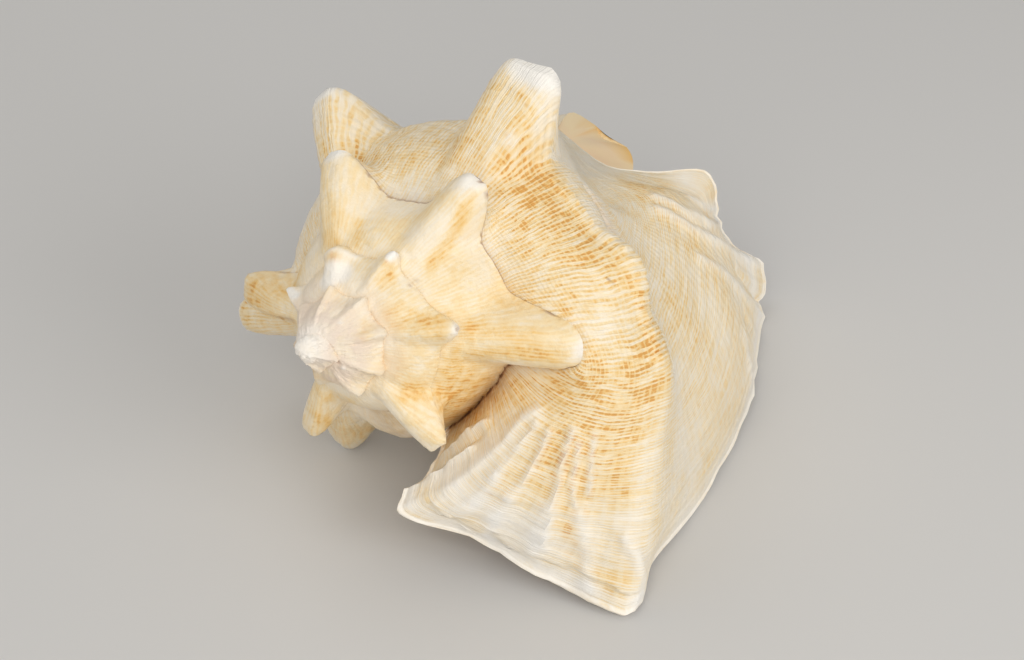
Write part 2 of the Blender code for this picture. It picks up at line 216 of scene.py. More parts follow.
@dataclass(frozen=True)
class Whorls:
    """The plain form of the shell, as it grows: shoulder, spines, flaring lip, canal and hollow."""

    shoulder_radius: tuple = (
        (-1332, 0), (-1230, 2.5), (-1100, 5.5), (-960, 9), (-740, 15.5), (-600, 19.5), (-486, 22),
        (-430, 24.5), (-336, 30.5), (-275, 32.5), (-210, 34.5), (-148, 37), (-80, 39), (-26, 42),
        (34, 43.5), (83, 42.5), (104, 47), (120, 53.5), (153, 54), (196, 57), (265, 60),
        (321, 62), (350, 64), (377, 68),
    )
    shoulder_height: tuple = (
        (-1332, 0), (-1230, 3), (-1100, 7), (-960, 13), (-740, 22), (-617, 24.5), (-486, 28.5),
        (-389, 33), (-275, 40), (-148, 48), (-80, 53), (-26, 58.5), (34, 65), (83, 69), (108, 71),
        (155, 78), (196, 81), (265, 88), (321, 96), (350, 96), (377, 96),
    )
    spines: tuple[Spine, ...] = tuple(
        Spine(*row)
        for row in (
            (377, 78, 94, 11, 6, 2.4), (324, 93, 90, 15, 10, 4.5), (265, 85, 81.5, 11, 10, 3.6),
            (197, 91, 73.5, 10.5, 9, 3.2), (156.5, 85.5, 84, 11, 10, 3.4),
            (34.4, 73, 62.5, 12, 8.5, 3), (-25, 64, 56, 9.5, 7.5, 2.6),
            (-80.7, 60, 51, 11, 7.5, 2.6), (-148, 62, 45.5, 8.3, 7, 3.8),
            (-206, 58.4, 42.4, 6.6, 6.0, 3.4), (-275, 51.7, 38.5, 7.6, 6.0, 3.0),
            (-336.4, 41.8, 34.5, 5.6, 4.6, 1.7), (-389, 34.6, 31.5, 3.6, 3.6, 1.8),
            (-430, 29.4, 29.5, 5, 4, 3), (-486, 28.4, 27, 3.0, 3, 1.6),
            (-570, 24, 24.6, 3.0, 2.5, 1.6), (-617, 22.6, 23, 3.2, 2.5, 2.0),
            (-657, 21.2, 22.2, 2.6, 2.2, 2.1), (-701, 21.3, 20.6, 2.6, 2.4, 2.0),
            (-740, 20.2, 20.4, 2.4, 2, 1.6), (-782, 18.2, 19.0, 2.2, 2, 1.7),
            (-830, 16.0, 17.0, 2.0, 1.8, 1.7), (-884, 14.2, 15.0, 2.0, 1.6, 1.7),
            (-950, 11.6, 12.6, 1.8, 1.4, 1.7), (-1020, 9.4, 10.2, 1.6, 1.2, 1.8),
        )
    )
    stations: tuple = (
        0, 0.16, 0.25, 0.5, 0.75, 1, 1.07, 1.15, 1.3, 1.45, 1.6, 1.7, 1.8, 1.87, 1.94, 1.97, 2,
    )
    ramp_spread: tuple = (0, 0.20, 0.30, 0.58, 0.82)
    ramp_drop: tuple = (0, 0.12, 0.18, 0.40, 0.68)
    body_width: tuple = (1, 0.98, 0.94, 0.80, 0.64, 0.50)
    body_drop: tuple = (0, 0.06, 0.13, 0.30, 0.48, 0.66)
    body_offset: tuple = (0, 0, 0, 0, 3, 6)
    body_goal: tuple = ((108, 225), (160, 215), (215, 200), (270, 183), (325, 172))
    canal_angle: float = -88.0
    canal_end: tuple = (-88.0, 42.0, 198.0)
    canal_lines: tuple = (
        (108, ((94, 17, 194), (-60, 8, 224), (-83, 22, 239), (-100, 39, 239), (-101, 49, 230))),
        (160, ((165, 24, 185), (-139, 21, 212), (-108, 32, 232), (-105, 46, 230), (-102, 50, 221))),
        (215, ((-137, 33, 180), (-123, 38, 202), (-112, 44, 216), (-106, 50, 218), (-101, 50, 212))),
        (270, ((-102, 43, 172), (-102, 47, 186), (-100, 49, 197), (-96, 48, 202), (-92, 45, 201))),
        (325, ((-55, 34, 160), (-66, 37, 172), (-75, 39, 181), (-82, 41, 190), (-85, 42, 194))),
    )
    lip_lines: tuple = (
        (350, (
            (-10, 42, 60), (-10, 46, 64), (-10, 48.5, 66), (-10, 55, 74), (-10, 60, 85), (-10, 64, 96),
            (-9, 63, 101), (-8, 60.5, 107), (-7, 54, 119), (-6, 47.5, 131), (-5, 42, 140), (-8, 38, 146),
            (-17, 35, 152), (-30, 33, 158), (-52, 33, 170), (-67, 35, 180),
        )),
        (377, (
            (17, 45, 62), (16, 51, 64), (16, 55, 66), (16, 63, 73), (16.5, 69, 83), (17, 70, 96),
            (19, 67, 103), (21, 63, 112), (19, 54, 134), (12, 48, 150), (5, 44, 158), (-1, 41, 162),
            (-10, 37, 163), (-20, 34, 163), (-39, 32, 166), (-57, 33, 175),
        )),
        (400, (
            (41, 64, 66), (42, 69, 66), (42, 72, 67), (41, 79, 73), (41, 85, 83), (40, 89, 95),
            (42, 86, 102), (45, 80, 113), (40, 69, 142), (28, 57, 164), (14, 49, 176), (6, 45, 179),
            (-2, 42, 177), (-13, 37, 171), (-29, 33, 167), (-48, 33, 172),
        )),
        (425, (
            (66, 42, 66), (66, 54, 60), (66, 60, 58), (64, 75, 62), (62, 90, 72), (58, 101, 88),
            (60, 99, 99), (62, 96, 115), (59, 88, 148), (48, 73, 178), (33, 57, 192), (21, 52, 191),
            (8, 46, 190), (0, 42, 185), (-19, 35, 173), (-41, 32, 173),
        )),
        (450, (
            (90, 41, 68), (91, 54, 54), (92, 62, 48), (83, 84, 54), (76, 103, 64), (70, 119, 80),
            (71, 116, 95), (71, 112, 116), (69, 104, 150), (65, 88, 190), (54, 65, 215), (45, 52, 223),
            (22, 46, 206), (9, 45.5, 202), (-14, 36, 184), (-37, 32, 177),
        )),
        (468, (
            (107, 48, 68), (107, 60, 52), (112, 67, 39), (98, 88, 52), (87, 114, 60), (79, 135, 75),
            (79, 126, 90), (77, 121, 117), (74, 112.5, 149), (70.2, 97.3, 189.3), (69.5, 68.4, 243),
            (58.8, 56.8, 249.5), (31, 43, 220), (3, 51, 210), (-17, 35, 189), (-38, 31, 181),
        )),
    )
    last_round_line: float = 325
    early_lines: tuple = (300, 325)
    edge_wall: float = 3.6
    deep_wall: float = 6.5
    deep_wall_at: float = 0.2
    thin_end: float = 0.2
    spire_shoulder: float = 1.6
    body_shoulder: float = 5.0
    shoulder_change: tuple = (150.0, -60.0)
    round_from_radius: float = 45.0
    lip_flattens: float = 60.0
    round_below: float = 1.6
    corner_fade: tuple = (400.0, 60.0)
    rise_from: float = 0.45
    rise_power: float = 1.8
    buttress: float = 0.38
    buttress_power: float = 2.4
    buttress_taper: float = 4
    suture_reach: float = 0.6
    lip_suture_reach: float = 0.45
    inner_suture_reach: float = 0.3
    inner_suture_power: float = 1.5
    width_below_tip: float = 0.55
    thick_from: float = 0.8
    under_share: float = 0.8
    under_fade: float = 0.4
    edge_power: int = 5
    outside_narrows: tuple = (1.45, 2.0)
    parietal_narrows: tuple = (INNER_SUTURE, 1.45)
    canal_centre: tuple = ((100, 0), (135, 3), (150, 8), (172, 18), (187, 30), (198, 42))
    innermost_height: float = 125.0
    slope_step: float = 0.01
    held: tuple = (
        (-1332, 0.6), (-1000, 0.3), (-740, 0.12), (-430, 0.2), (-389, 0.2), (-350, 0.25),
        (-322, 0.45), (-298, 1),
    )

    def radius(self, growth: Array | float) -> Array:
        """Shoulder's distance from the axis, without spines."""
        return curve_through(growth, *zip(*self.shoulder_radius))

    def height(self, growth: Array | float) -> Array:
        """Shoulder's distance from the apex along the axis, without spines."""
        return curve_through(growth, *zip(*self.shoulder_height))

    def push(self, growth: Array | float) -> tuple[Array, Array, Array, Array]:
        """What the spines add to the shoulder.

        Args:
            growth: Growth angles.

        Returns:
            How far out and along the axis it is pushed, the spine's half thickness, and how near
            the middle of a spine this is, from 0 to 1.
        """
        growth = np.asarray(growth, float)
        out, along, thick, share = (np.zeros_like(growth) for _ in range(4))
        for spine in self.spines:
            length = spine.radius - self.radius(spine.growth)
            aside = np.radians(growth - spine.growth) * (spine.radius - self.width_below_tip * length)
            near = np.exp(-(np.abs(aside / spine.half_width) ** spine.bluntness))
            out += length * near
            along += (spine.height - self.height(spine.growth)) * near
            thick = np.maximum(thick, spine.half_thick * near)
            share = np.maximum(share, near)
        return out, along, thick, share

    def shoulder(self, growth: Array | float, spines: bool = True) -> Array:
        """Points on the shoulder."""
        out, along = self.push(growth)[:2] if spines else (0.0, 0.0)
        return around_axis(growth, self.radius(growth) + out, self.height(growth) + along)

    def foot(self, growth: Array | float, spines: bool = True) -> Array:
        """Points where the next whorl joins, which follow the spines of the spire only in part."""
        plain = self.shoulder(growth, spines=False)
        share = np.interp(growth, *zip(*self.held))
        return plain + np.asarray(share)[..., None] * (self.shoulder(growth, spines) - plain)

    def round_line(self, growth: float) -> Array:
        """Growth line of a whorl before the lip flares, as points at the stations."""
        growth = float(growth)
        inner_radius, outer_radius = self.radius(growth - TURN), self.radius(growth)
        inner_height, outer_height = self.height(growth - TURN), self.height(growth)
        ramp = around_axis(
            growth,
            inner_radius + (outer_radius - inner_radius) * np.array(self.ramp_spread),
            inner_height + (outer_height - inner_height) * np.array(self.ramp_drop),
        )
        goal = curve_through(growth, *zip(*self.body_goal))
        body = around_axis(
            growth,
            outer_radius * np.array(self.body_width),
            outer_height + (goal - outer_height) * np.array(self.body_drop),
        )
        body = body + np.outer(self.body_offset, around_axis(self.canal_angle, 1.0, 0.0))
        knots, lines = zip(*self.canal_lines)
        canal = curve_through(growth, knots, [points_at(line) for line in lines])
        return np.concatenate([ramp, body, canal, points_at([self.canal_end])])

    def flaring_line(self, growth: float) -> Array:
        """Growth line of the flaring lip, as points at the stations."""
        knots, lines = zip(*self.lip_lines)
        early = [self.round_line(g) for g in self.early_lines]
        late = [points_at(line + (self.canal_end,)) for line in lines]
        lines = np.stack(early + late)
        return curve_through(np.array([float(growth)]), self.early_lines + knots, lines)[0]

    def row(self, growth: float, stations: Array) -> Array:
        """Growth line at these stations, with a corner at the shoulder that fades out on the lip."""
        line = self.flaring_line(growth) if growth > self.last_round_line else self.round_line(growth)
        corner = self.stations.index(1)
        ramp = curve_through(stations, self.stations[: corner + 1], line[: corner + 1])
        body = curve_through(stations, self.stations[corner:], line[corner:])
        broken = np.where((stations <= 1)[:, None], ramp, body)
        fade = rise(growth, *self.corner_fade)
        return broken + fade * (curve_through(stations, self.stations, line) - broken)

    def roundness(self, growth: float) -> float:
        """Roundness of the shoulder, in millimetres."""
        change = (self.spire_shoulder - self.body_shoulder) * rise(growth, *self.shoulder_change)
        share = np.clip(self.radius(growth) / self.round_from_radius, 0, 1)
        plain = (self.body_shoulder + change) * share
        return plain * np.clip((LIP_ANGLE - growth) / self.lip_flattens, 0, 1)

    def outside(self, growths: Iterable[float], stations: Array, spines: bool = True) -> Array:
        """Outer surface of the whorls.

        Args:
            growths: Growth angle of each column.
            stations: Station of each row.
            spines: Whether the shoulder has its spines.

        Returns:
            Points by column and row.
        """
        stations = np.asarray(stations, float)
        on_ramp = stations <= 1
        columns = []
        for growth in growths:
            row = self.row(growth, stations)
            reach = self.lip_suture_reach if growth > self.last_round_line else self.suture_reach
            to_suture = self.foot(growth - TURN, spines) - row[0]
            row += np.outer(np.clip(1 - stations / reach, 0, 1) ** 2, to_suture)
            out, along, thick, share = self.push(growth) if spines else (0.0, 0.0, 0.0, 1.0)
            below = np.clip((stations - 1) / self.buttress, 0, 1)
            above = np.clip((stations - self.rise_from) / (1 - self.rise_from), 0, 1)
            rise = np.where(on_ramp, above**self.rise_power, (1 - below) ** self.buttress_power)
            rise = rise * max(share, SMALL) ** (self.buttress_taper * below)
            row += np.outer(rise * out, around_axis(growth, 1.0, 0.0))
            row[:, 2] += rise * along
            side = np.where(on_ramp, stations, (self.round_below - stations) / (self.round_below - 1))
            round_off = np.sqrt(1 - np.clip(side, 0, 1) ** self.edge_power)
            under = -self.under_share * ease((self.round_below - stations) / self.under_fade)
            near = np.where(on_ramp, ease(stations / self.thick_from), under)
            row[:, 2] -= max(self.roundness(growth), thick) * near * round_off
            columns.append(row)
        return np.stack(columns)

    def canal_line(self, depth: float) -> Array:
        """Innermost line of the hollow, from the canal end back up beside the axis."""
        height = self.canal_end[2] + (self.innermost_height - self.canal_end[2]) * depth
        heights, offsets = zip(*self.canal_centre)
        return around_axis(self.canal_angle, np.interp(height, heights, offsets), height)

    def narrowed(self, row: Array, stations: Array, depth: float, narrows: tuple[float, float]) -> Array:
        """Draws a row of the hollow's wall in to the innermost line, between two stations."""
        full = min(1, depth * 2)
        start, end = (2 - (2 - station) * full for station in narrows)
        share = np.where(stations >= 2, 1.0, np.clip((stations - start) / max(end - start, SMALL), 0, 1))
        return row + share[:, None] * (self.canal_line(depth) - row)

    def inside(self, growths: Sequence[float], old_growths: Sequence[float], stations: Array) -> Array:
        """Inside of the last whorl's wall, set in from its outer surface.

        Args:
            growths: Growth angle of each column.
            old_growths: The same places one turn earlier, which say how deep in the hollow they are.
            stations: Station of each row.

        Returns:
            Points by column and row.
        """
        low, high = (np.clip(stations + step, 0, 2) for step in (-self.slope_step, self.slope_step))
        columns = []
        for growth, old_growth in zip(growths, old_growths):
            depth = (PARIETAL_ANGLE - old_growth) / HOLLOW_DEPTH
            before, row = self.outside([growth - 1, growth], stations, spines=False)
            above = self.outside([growth], high, spines=False)[0]
            along = above - self.outside([growth], low, spines=False)[0]
            outward = unit(np.cross(row - before, along))
            wall = self.edge_wall + (self.deep_wall - self.edge_wall) * ease(depth / self.deep_wall_at)
            row -= outward * wall * np.sqrt(np.clip((2 - stations) / self.thin_end, 0, 1))[:, None]
            suture = self.parietal([old_growth], np.array([INNER_SUTURE]))[0, 0]
            near = np.clip(1 - stations / self.inner_suture_reach, 0, 1) ** self.inner_suture_power
            row += np.outer(near, suture - row[0])
            columns.append(self.narrowed(row, stations, depth, self.outside_narrows))
        return np.stack(columns)

    def parietal(self, old_growths: Sequence[float], stations: Array) -> Array:
        """Wall of the turn before, as it is seen inside the mouth."""
        columns = []
        for old_growth in old_growths:
            depth = (PARIETAL_ANGLE - old_growth) / HOLLOW_DEPTH
            row = self.outside([old_growth], stations, spines=False)[0]
            columns.append(self.narrowed(row, stations, depth, self.parietal_narrows))
        return np.stack(columns)


@dataclass
class Patch:
    """A sheet of the surface: points by column and row, with their growth angles and stations."""

    growths: Array
    stations: Array
    points: Array
    masks: dict[str, Array] = field(default_factory=dict)

    def mask(self, name: str) -> Array:
        """The mask of that name, by column and row, made empty if it is new."""
        return self.masks.setdefault(name, np.zeros(self.points.shape[:2]))

    def outward(self) -> Array:
        """Unit normals that point out of the shell."""
        return unit(np.cross(np.gradient(self.points, axis=0), np.gradient(self.points, axis=1)))

    def grown(self) -> Array:
        """Unit directions in which the shell grows."""
        return unit(np.gradient(self.points, axis=0))


class Mark(Enum):
    """What a mark on the surface changes: its shape or one of its masks."""

    RELIEF = "relief"
    OCHRE = "ochre"
    WORN = "worn"
    # Crevice marks are darker brown: partly real stain in sutures and cracks, partly painted shade in
    # pits, grooves and under the spines.
    CREVICE = "crevice"
    CHALK = "chalk"


FRESH, DEEP = "fresh", "deep"
MASKS = (*(mark.value for mark in Mark if mark is not Mark.RELIEF), FRESH, DEEP)

Path = tuple[tuple[float, float], ...]


@dataclass(frozen=True)
class Stroke:
    """A mark along a path on the surface: a rib, a groove, a stain, painted shade or a worn place.

    The path is given as growth angle and station. The width is half the mark's width in
    millimetres, and the strength is a height in millimetres for relief and a share for a mask.
    """

    mark: Mark
    width: float
    strength: float
    path: Path
    edge: float = 2.0
    reach: float = 2.2

    def add(self, points: Array, along: Array, to: Array) -> None:
        """Adds the mark to a height or a mask, along the path's own points in space."""
        room = self.width * self.reach
        near = np.all((points > along.min(0) - room) & (points < along.max(0) + room), axis=-1)
        if not near.any():
            return
        spots = points[near]
        distance = np.full(len(spots), np.inf)
        starts = along[:-1] if len(along) > 1 else along
        for start, run in zip(starts, np.diff(along, axis=0) if len(along) > 1 else along * 0):
            share = np.clip((spots - start) @ run / (run @ run + SMALL), 0, 1)
            here = np.linalg.norm(spots - start - share[:, None] * run, axis=-1)
            distance = np.minimum(distance, here)
        to[near] += self.strength * np.exp(-((distance / self.width) ** self.edge))


@dataclass(frozen=True)
class Break:
    """Broken end of a spine: a face across it, with a hollow in its middle, in millimetres."""

    growth: float
    back: float
    hollow: float
    hollow_width: float
    flattened: float = 0.94
    margin: float = 0.3
    reach: float = 11.0

    def cut(self, points: Array, whorls: Whorls) -> Array:
        """The points, with those beyond the broken face moved back to it."""
        tip, base = whorls.shoulder(self.growth), whorls.shoulder(self.growth, spines=False)
        ahead = (tip - base) / np.linalg.norm(tip - base)
        offset = points - tip
        depth = offset @ ahead
        aside = np.linalg.norm(offset - depth[..., None] * ahead, axis=-1)
        beyond = depth + self.back
        cut = self.flattened * np.maximum(beyond, 0)
        dip = self.hollow * np.exp(-((aside / self.hollow_width) ** 4))
        cut += np.where(beyond > -self.margin, dip, 0)
        near = np.linalg.norm(offset, axis=-1) < self.reach
        return points - np.where(near, cut, 0)[..., None] * ahead


def marks_of(mark: Mark, *rows: tuple) -> tuple[Stroke, ...]:
    """Strokes of one kind, from rows of width, strength, path and, if it isn't the usual one, edge."""
    return tuple(Stroke(mark, *row) for row in rows)


BREAKS: tuple[Break, ...] = (
    Break(-25, 0.8, 0.5, 2.8),
    Break(-148, 1.8, 0.3, 4.0),
    Break(-206, 0.8, 0.3, 3.0),
    Break(-275, 1.3, 0.3, 2.6),
    Break(-336.4, 0.9, 1.0, 1.2),
    Break(197, 0.6, 0.2, 4.0),
)

RIBS: tuple[Stroke, ...] = marks_of(
    Mark.RELIEF,
    (1.9, 1.8, ((418, 0.30), (422, 0.29), (428, 0.305), (433, 0.31), (439, 0.3), (448, 0.3), (460, 0.33))),
    (1.4, 1.3, ((421, 0.35), (427, 0.36), (431, 0.36), (437, 0.36), (443, 0.36))),
    (1.3, 1.7, ((421, 0.42), (427, 0.45), (433, 0.46), (438, 0.45), (446, 0.44))),
    (1.3, 2.0, ((418, 0.52), (424, 0.56), (431, 0.58), (437, 0.59), (446, 0.61), (457, 0.65))),
    (1.1, 1.6, ((421, 0.6), (426, 0.63), (434, 0.65), (440, 0.68))),
    (1.1, 1.5, ((418, 0.65), (424, 0.69), (430, 0.715), (436, 0.73))),
    (3.4, 1.5, ((443, 0.71), (450, 0.76), (458, 0.8), (464, 0.82))),
    (3.6, 1.6, ((444, 0.58), (452, 0.6), (461, 0.64))),
    (3.4, 1.4, ((446, 0.44), (454, 0.46), (462, 0.5))),
    (3.0, 1.2, ((441, 0.36), (450, 0.38), (458, 0.38))),
    (2.6, 1.6, ((449, 0.89), (454, 0.94), (458, 0.96), (466, 0.99))),
    (1.6, 2.4, ((468, 0.2), (463, 0.185), (454, 0.19), (445, 0.185), (436, 0.2))),
    (1.6, 2.0, ((466, 0.27), (461, 0.26), (452, 0.245), (444, 0.24))),
    (1.4, -1.5, ((466, 0.235), (460, 0.225), (450, 0.22), (440, 0.22))),
    (2.4, 1.8, ((392, 1.7), (400, 1.67), (412, 1.66), (430, 1.71), (446, 1.76), (467, 1.8))),
    (2.6, 2.0, ((390, 1.6), (406, 1.57), (420, 1.61), (433, 1.655), (448, 1.69), (467, 1.715))),
    (2.2, 1.5, ((408, 1.48), (420, 1.52), (434, 1.555), (448, 1.58), (467, 1.585))),
    (2.0, 1.2, ((440, 1.48), (452, 1.47), (467, 1.46))),
    (2.0, 1.2, ((436, 1.83), (450, 1.82), (466, 1.82))),
    (2.2, -1.2, ((412, 1.63), (430, 1.68), (448, 1.73), (467, 1.757))),
    (2.0, -2.0, ((444, 1.63), (454, 1.625), (467, 1.62))),
    (2.0, -1.5, ((444, 1.53), (454, 1.525), (467, 1.52))),
    (4.2, 1.7, ((328.5, 0.99), (331, 1.0))),
    (3.6, 1.1, ((325.5, 0.995), (327.5, 1.0))),
    (1.8, -1.8, ((350, 1.12), (362, 1.1), (374, 1.06), (384, 1.05), (394, 1.06), (404, 1.08))),
    (1.4, 1.2, ((-438, 0.93), (-430, 0.95), (-422, 0.94), (-414, 0.96))),
    (2.6, -0.9, ((-431, 0.62), (-424, 0.6), (-416, 0.66))),
    (1.7, 1.1, ((331, 0.78), (330, 0.8))),
    (2.2, 1.2, ((142, 1.89), (152, 1.9))),
    (1.0, -0.8, ((-155, 0.8), (-154, 0.6), (-153, 0.35))),
    (0.9, -1.3, ((-647, 0.18), (-646.5, 0.19))),
    (1.0, 0.9, ((-645, 0.34), (-644.5, 0.34))),
    (0.9, 0.8, ((-735, 0.52), (-734.5, 0.52))),
    (1.5, -0.8, ((-1010, 0.5), (-990, 0.6), (-960, 0.7))),
)

STAINS: tuple[Stroke, ...] = marks_of(
    Mark.OCHRE,
    (13, 0.62, ((350, 0.7), (364, 0.66), (378, 0.66))),
    (8, 0.5, ((344, 0.88), (358, 0.86), (372, 0.84), (386, 0.9), (402, 0.9))),
    (10, 0.3, ((336, 0.5), (350, 0.4), (366, 0.3), (384, 0.4))),
    (5, 0.45, ((325, 0.93), (328, 0.88), (332, 0.8), (334, 0.7))),
    (2.4, 0.8, ((329.5, 0.83), (329, 0.8))),
    (2.0, 0.7, ((331, 0.91), (332, 0.88), (334, 0.82))),
    (9, 0.25, ((318, 0.9), (320, 0.8), (322, 0.7))),
    (9, 0.35, ((338, 0.92), (340, 0.84), (344, 0.78))),
    (14, 0.5, ((278, 0.6), (293, 0.61), (305, 0.64), (319, 0.64))),
    (8, 0.3, ((271, 0.93), (271, 0.84), (274, 0.7))),
    (3, 0.35, ((268, 0.94), (266, 0.8), (264, 0.6))),
    (1.5, 1.6, ((-22.5, 0.95), (-21, 0.91), (-19, 0.82), (-16.5, 0.75), (-14, 0.6), (-13, 0.48))),
    (3, 0.5, ((-20, 0.9), (-15, 0.7), (-10, 0.4))),
    (6, 0.4, ((-31, 0.85), (-37, 0.72), (-42, 0.5))),
    (7, 0.5, ((0, 0.6), (8, 0.45), (16, 0.3))),
    (4, 0.75, ((27, 0.6), (28, 0.75), (29, 0.85))),
    (3, 1.0, ((40, 0.6), (38, 0.72), (36, 0.84), (36, 0.93))),
    (7, 0.45, ((20, 0.9), (24, 0.6), (30, 0.4))),
    (3.0, 1.1, ((-350, 0.5), (-345, 0.65), (-339, 0.78), (-336, 0.88))),
    (4, 0.7, ((-343, 0.9), (-346, 0.6), (-352, 0.4))),
    (1.8, 1.4, ((-390, 0.95), (-386, 0.88), (-382, 0.78), (-380, 0.65))),
    (6, 0.35, ((-376, 0.6), (-366, 0.7), (-358, 0.5))),
    (7, 0.85, ((-147, 0.95), (-143, 0.85), (-139, 0.72), (-136, 0.55))),
    (4, 0.6, ((-149, 0.9), (-154, 0.75), (-155, 0.4))),
    (6, 0.8, ((-209, 0.6), (-211, 0.8), (-212, 0.95))),
    (4, 0.5, ((-221, 0.95), (-223, 0.8), (-232, 0.5))),
    (3.4, 0.7, ((-300, 0.5), (-293, 0.7), (-288, 0.9))),
    (4, 0.5, ((-279, 0.95), (-281, 0.8), (-285, 0.6))),
    (6, 0.45, ((-307, 0.25), (-315, 0.4), (-325, 0.5))),
    (2.4, 1.2, ((-712, 0.85), (-706, 0.78), (-703, 0.7))),
    (3, 0.5, ((-600, 0.4), (-580, 0.6), (-560, 0.5))),
    (2, 0.9, ((-427, 0.86), (-426, 0.84))),
    (11, 0.9, ((60, 0.62), (72, 0.7), (84, 0.8), (97, 0.88))),
    (10, 0.6, ((52, 0.3), (66, 0.4), (80, 0.5))),
    (9, 0.8, ((150, 0.9), (156, 0.8), (160, 0.6))),
    (7, 0.7, ((197, 0.92), (199, 0.8), (201, 0.6))),
    (2.5, 0.8, ((200, 0.96), (203, 0.9))),
    (2.2, 0.7, ((-66, 0.55), (-63, 0.45), (-60, 0.3))),
    (7, 0.45, ((-84, 0.85), (-80, 0.6), (-77, 0.4))),
    (5, 0.5, ((252, 0.3), (245, 0.39), (238, 0.3), (229, 0.11))),
    (7, 0.7, ((398, 0.35), (408, 0.24), (420, 0.14), (432, 0.1), (446, 0.07))),
    (9, 0.6, ((400, 0.5), (412, 0.5), (424, 0.48), (434, 0.52))),
    (8, 0.6, ((404, 0.72), (414, 0.66), (426, 0.66), (438, 0.68))),
    (7, 0.6, ((398, 0.8), (408, 0.84), (420, 0.84), (434, 0.84))),
    (5, 0.25, ((440, 0.55), (446, 0.66), (454, 0.74), (461, 0.86))),
    (2.2, 0.9, ((448, 0.69), (450, 0.695))),
    (6, 0.12, ((450, 0.9), (458, 0.88), (463, 0.9))),
    (4, 0.4, ((440, 0.4), (445, 0.41))),
    (15, 0.42, ((376, 1.2), (388, 1.27), (400, 1.26), (413, 1.28))),
    (8, 0.4, ((384, 1.0), (396, 1.02), (410, 1.0))),
    (16, 0.32, ((396, 1.55), (410, 1.5), (428, 1.45), (445, 1.4))),
    (9, 0.4, ((420, 1.9), (440, 1.9), (458, 1.84))),
    (12, 0.3, ((372, 1.5), (384, 1.7), (400, 1.85))),
    (2.6, 1.6, ((102, 1.93), (104, 1.905), (106, 1.88), (107, 1.855))),
    (3, 0.6, ((108, 1.95), (110, 1.94))),
    (10, 0.5, ((170, 1.6), (200, 1.5), (230, 1.4))),
    (14, 0.4, ((120, 1.3), (160, 1.25), (200, 1.25), (250, 1.25), (300, 1.2))),
)

RIB_WEAR_WIDTH, RIB_WEAR_SHARE = 0.9, 0.62

WEAR_STAIN_AND_SHADE: tuple[Stroke, ...] = (
    *(
        Stroke(Mark.WORN, rib.width * RIB_WEAR_WIDTH, RIB_WEAR_SHARE, rib.path)
        for rib in RIBS
        if rib.strength > 0
    ),
    *marks_of(
        Mark.WORN,
        (8.5, 1.0, ((323, 1.0), (326, 1.0)), 6),
        (5.5, 1.0, ((264, 1.0), (266, 1.0)), 6),
        (5.0, 1.0, ((-80.7, 1.0), (-80, 1.0)), 5),
        (4.6, 0.8, ((-26, 0.98), (-25, 1.0)), 4),
        (3.6, 0.8, ((34, 1.0), (35, 1.0)), 4),
        (4.2, 0.9, ((156, 1.0), (157, 1.0)), 5),
        (4.4, 0.9, ((197, 1.0), (198, 1.0)), 5),
        (2.6, 1.1, ((-389.5, 1.0), (-388.5, 0.97)), 4),
        (3.0, 0.9, ((-336.5, 1.0), (-336, 1.0)), 4),
        (4.6, 0.85, ((-433, 0.5), (-426, 0.62), (-420, 0.6)), 5),
        (2.0, 1.1, ((-486, 0.98), (-482, 0.8)), 4),
        (9.0, 0.8, ((-1300, 0.5), (-1200, 0.5), (-1140, 0.4)), 3),
        (4.0, 0.8, ((466, 0.3), (466, 0.5), (466, 0.7), (466, 0.98)), 4),
        (4.5, 0.7, ((467, 1.1), (466, 1.4), (464, 1.6), (462, 1.75), (460, 1.9))),
        (6.0, 0.5, ((453, 0.32), (455, 0.5), (456, 0.7))),
        (3.0, 0.7, ((158, 1.96), (140, 1.95), (120, 1.95)), 3),
    ),
    *marks_of(
        Mark.CHALK,
        (13, 1.0, ((-1200, 0.5), (-1000, 0.5), (-830, 0.5)), 3),
        (9, 0.8, ((-741, 0.5), (-700, 0.6), (-650, 0.5), (-600, 0.5))),
        (7, 0.5, ((-540, 0.5), (-486, 0.7), (-430, 0.5))),
        (6, 0.4, ((-380, 0.3), (-350, 0.2), (-320, 0.25), (-300, 0.3))),
        (2.8, 1.0, ((-25, 1.0), (-24.5, 1.0)), 4),
        (2.2, 0.8, ((34.4, 1.0), (34.8, 1.0)), 4),
        (7, 0.3, ((356, 1.15), (368, 1.12), (378, 1.1))),
    ),
    # Darker brown crevice marks: stained sutures and cracks, and painted shade in the pit, along the
    # groove below the crest and under the spines.
    *marks_of(
        Mark.CREVICE,
        (0.55, 0.9, ((-647, 0.18), (-646.5, 0.18))),
        (0.7, 0.35, ((-336.5, 1.0), (-336, 1.0)), 3),
        (1.2, 0.38, ((-159, 0.97), (-156, 0.85), (-154, 0.6), (-153, 0.35))),
        (0.4, 0.7, ((378.5, 0.8), (380, 0.81))),
        (0.35, 0.8, ((329, 0.905), (328, 0.9))),
        (0.7, 0.4, ((-9, 0.18), (-8.5, 0.18))),
        (0.6, 0.4, ((-369, 0.98), (-368, 0.98))),
        (0.45, 0.5, ((447, 0.39), (447.5, 0.4))),
        (6, 0.30, ((62, 0.95), (80, 0.98), (100, 1.0))),
        (9, 0.28, ((118, 0.2), (120, 0.5), (122, 0.8))),
        (4, 0.14, ((354, 1.12), (364, 1.1), (374, 1.07), (384, 1.05))),
    ),
)


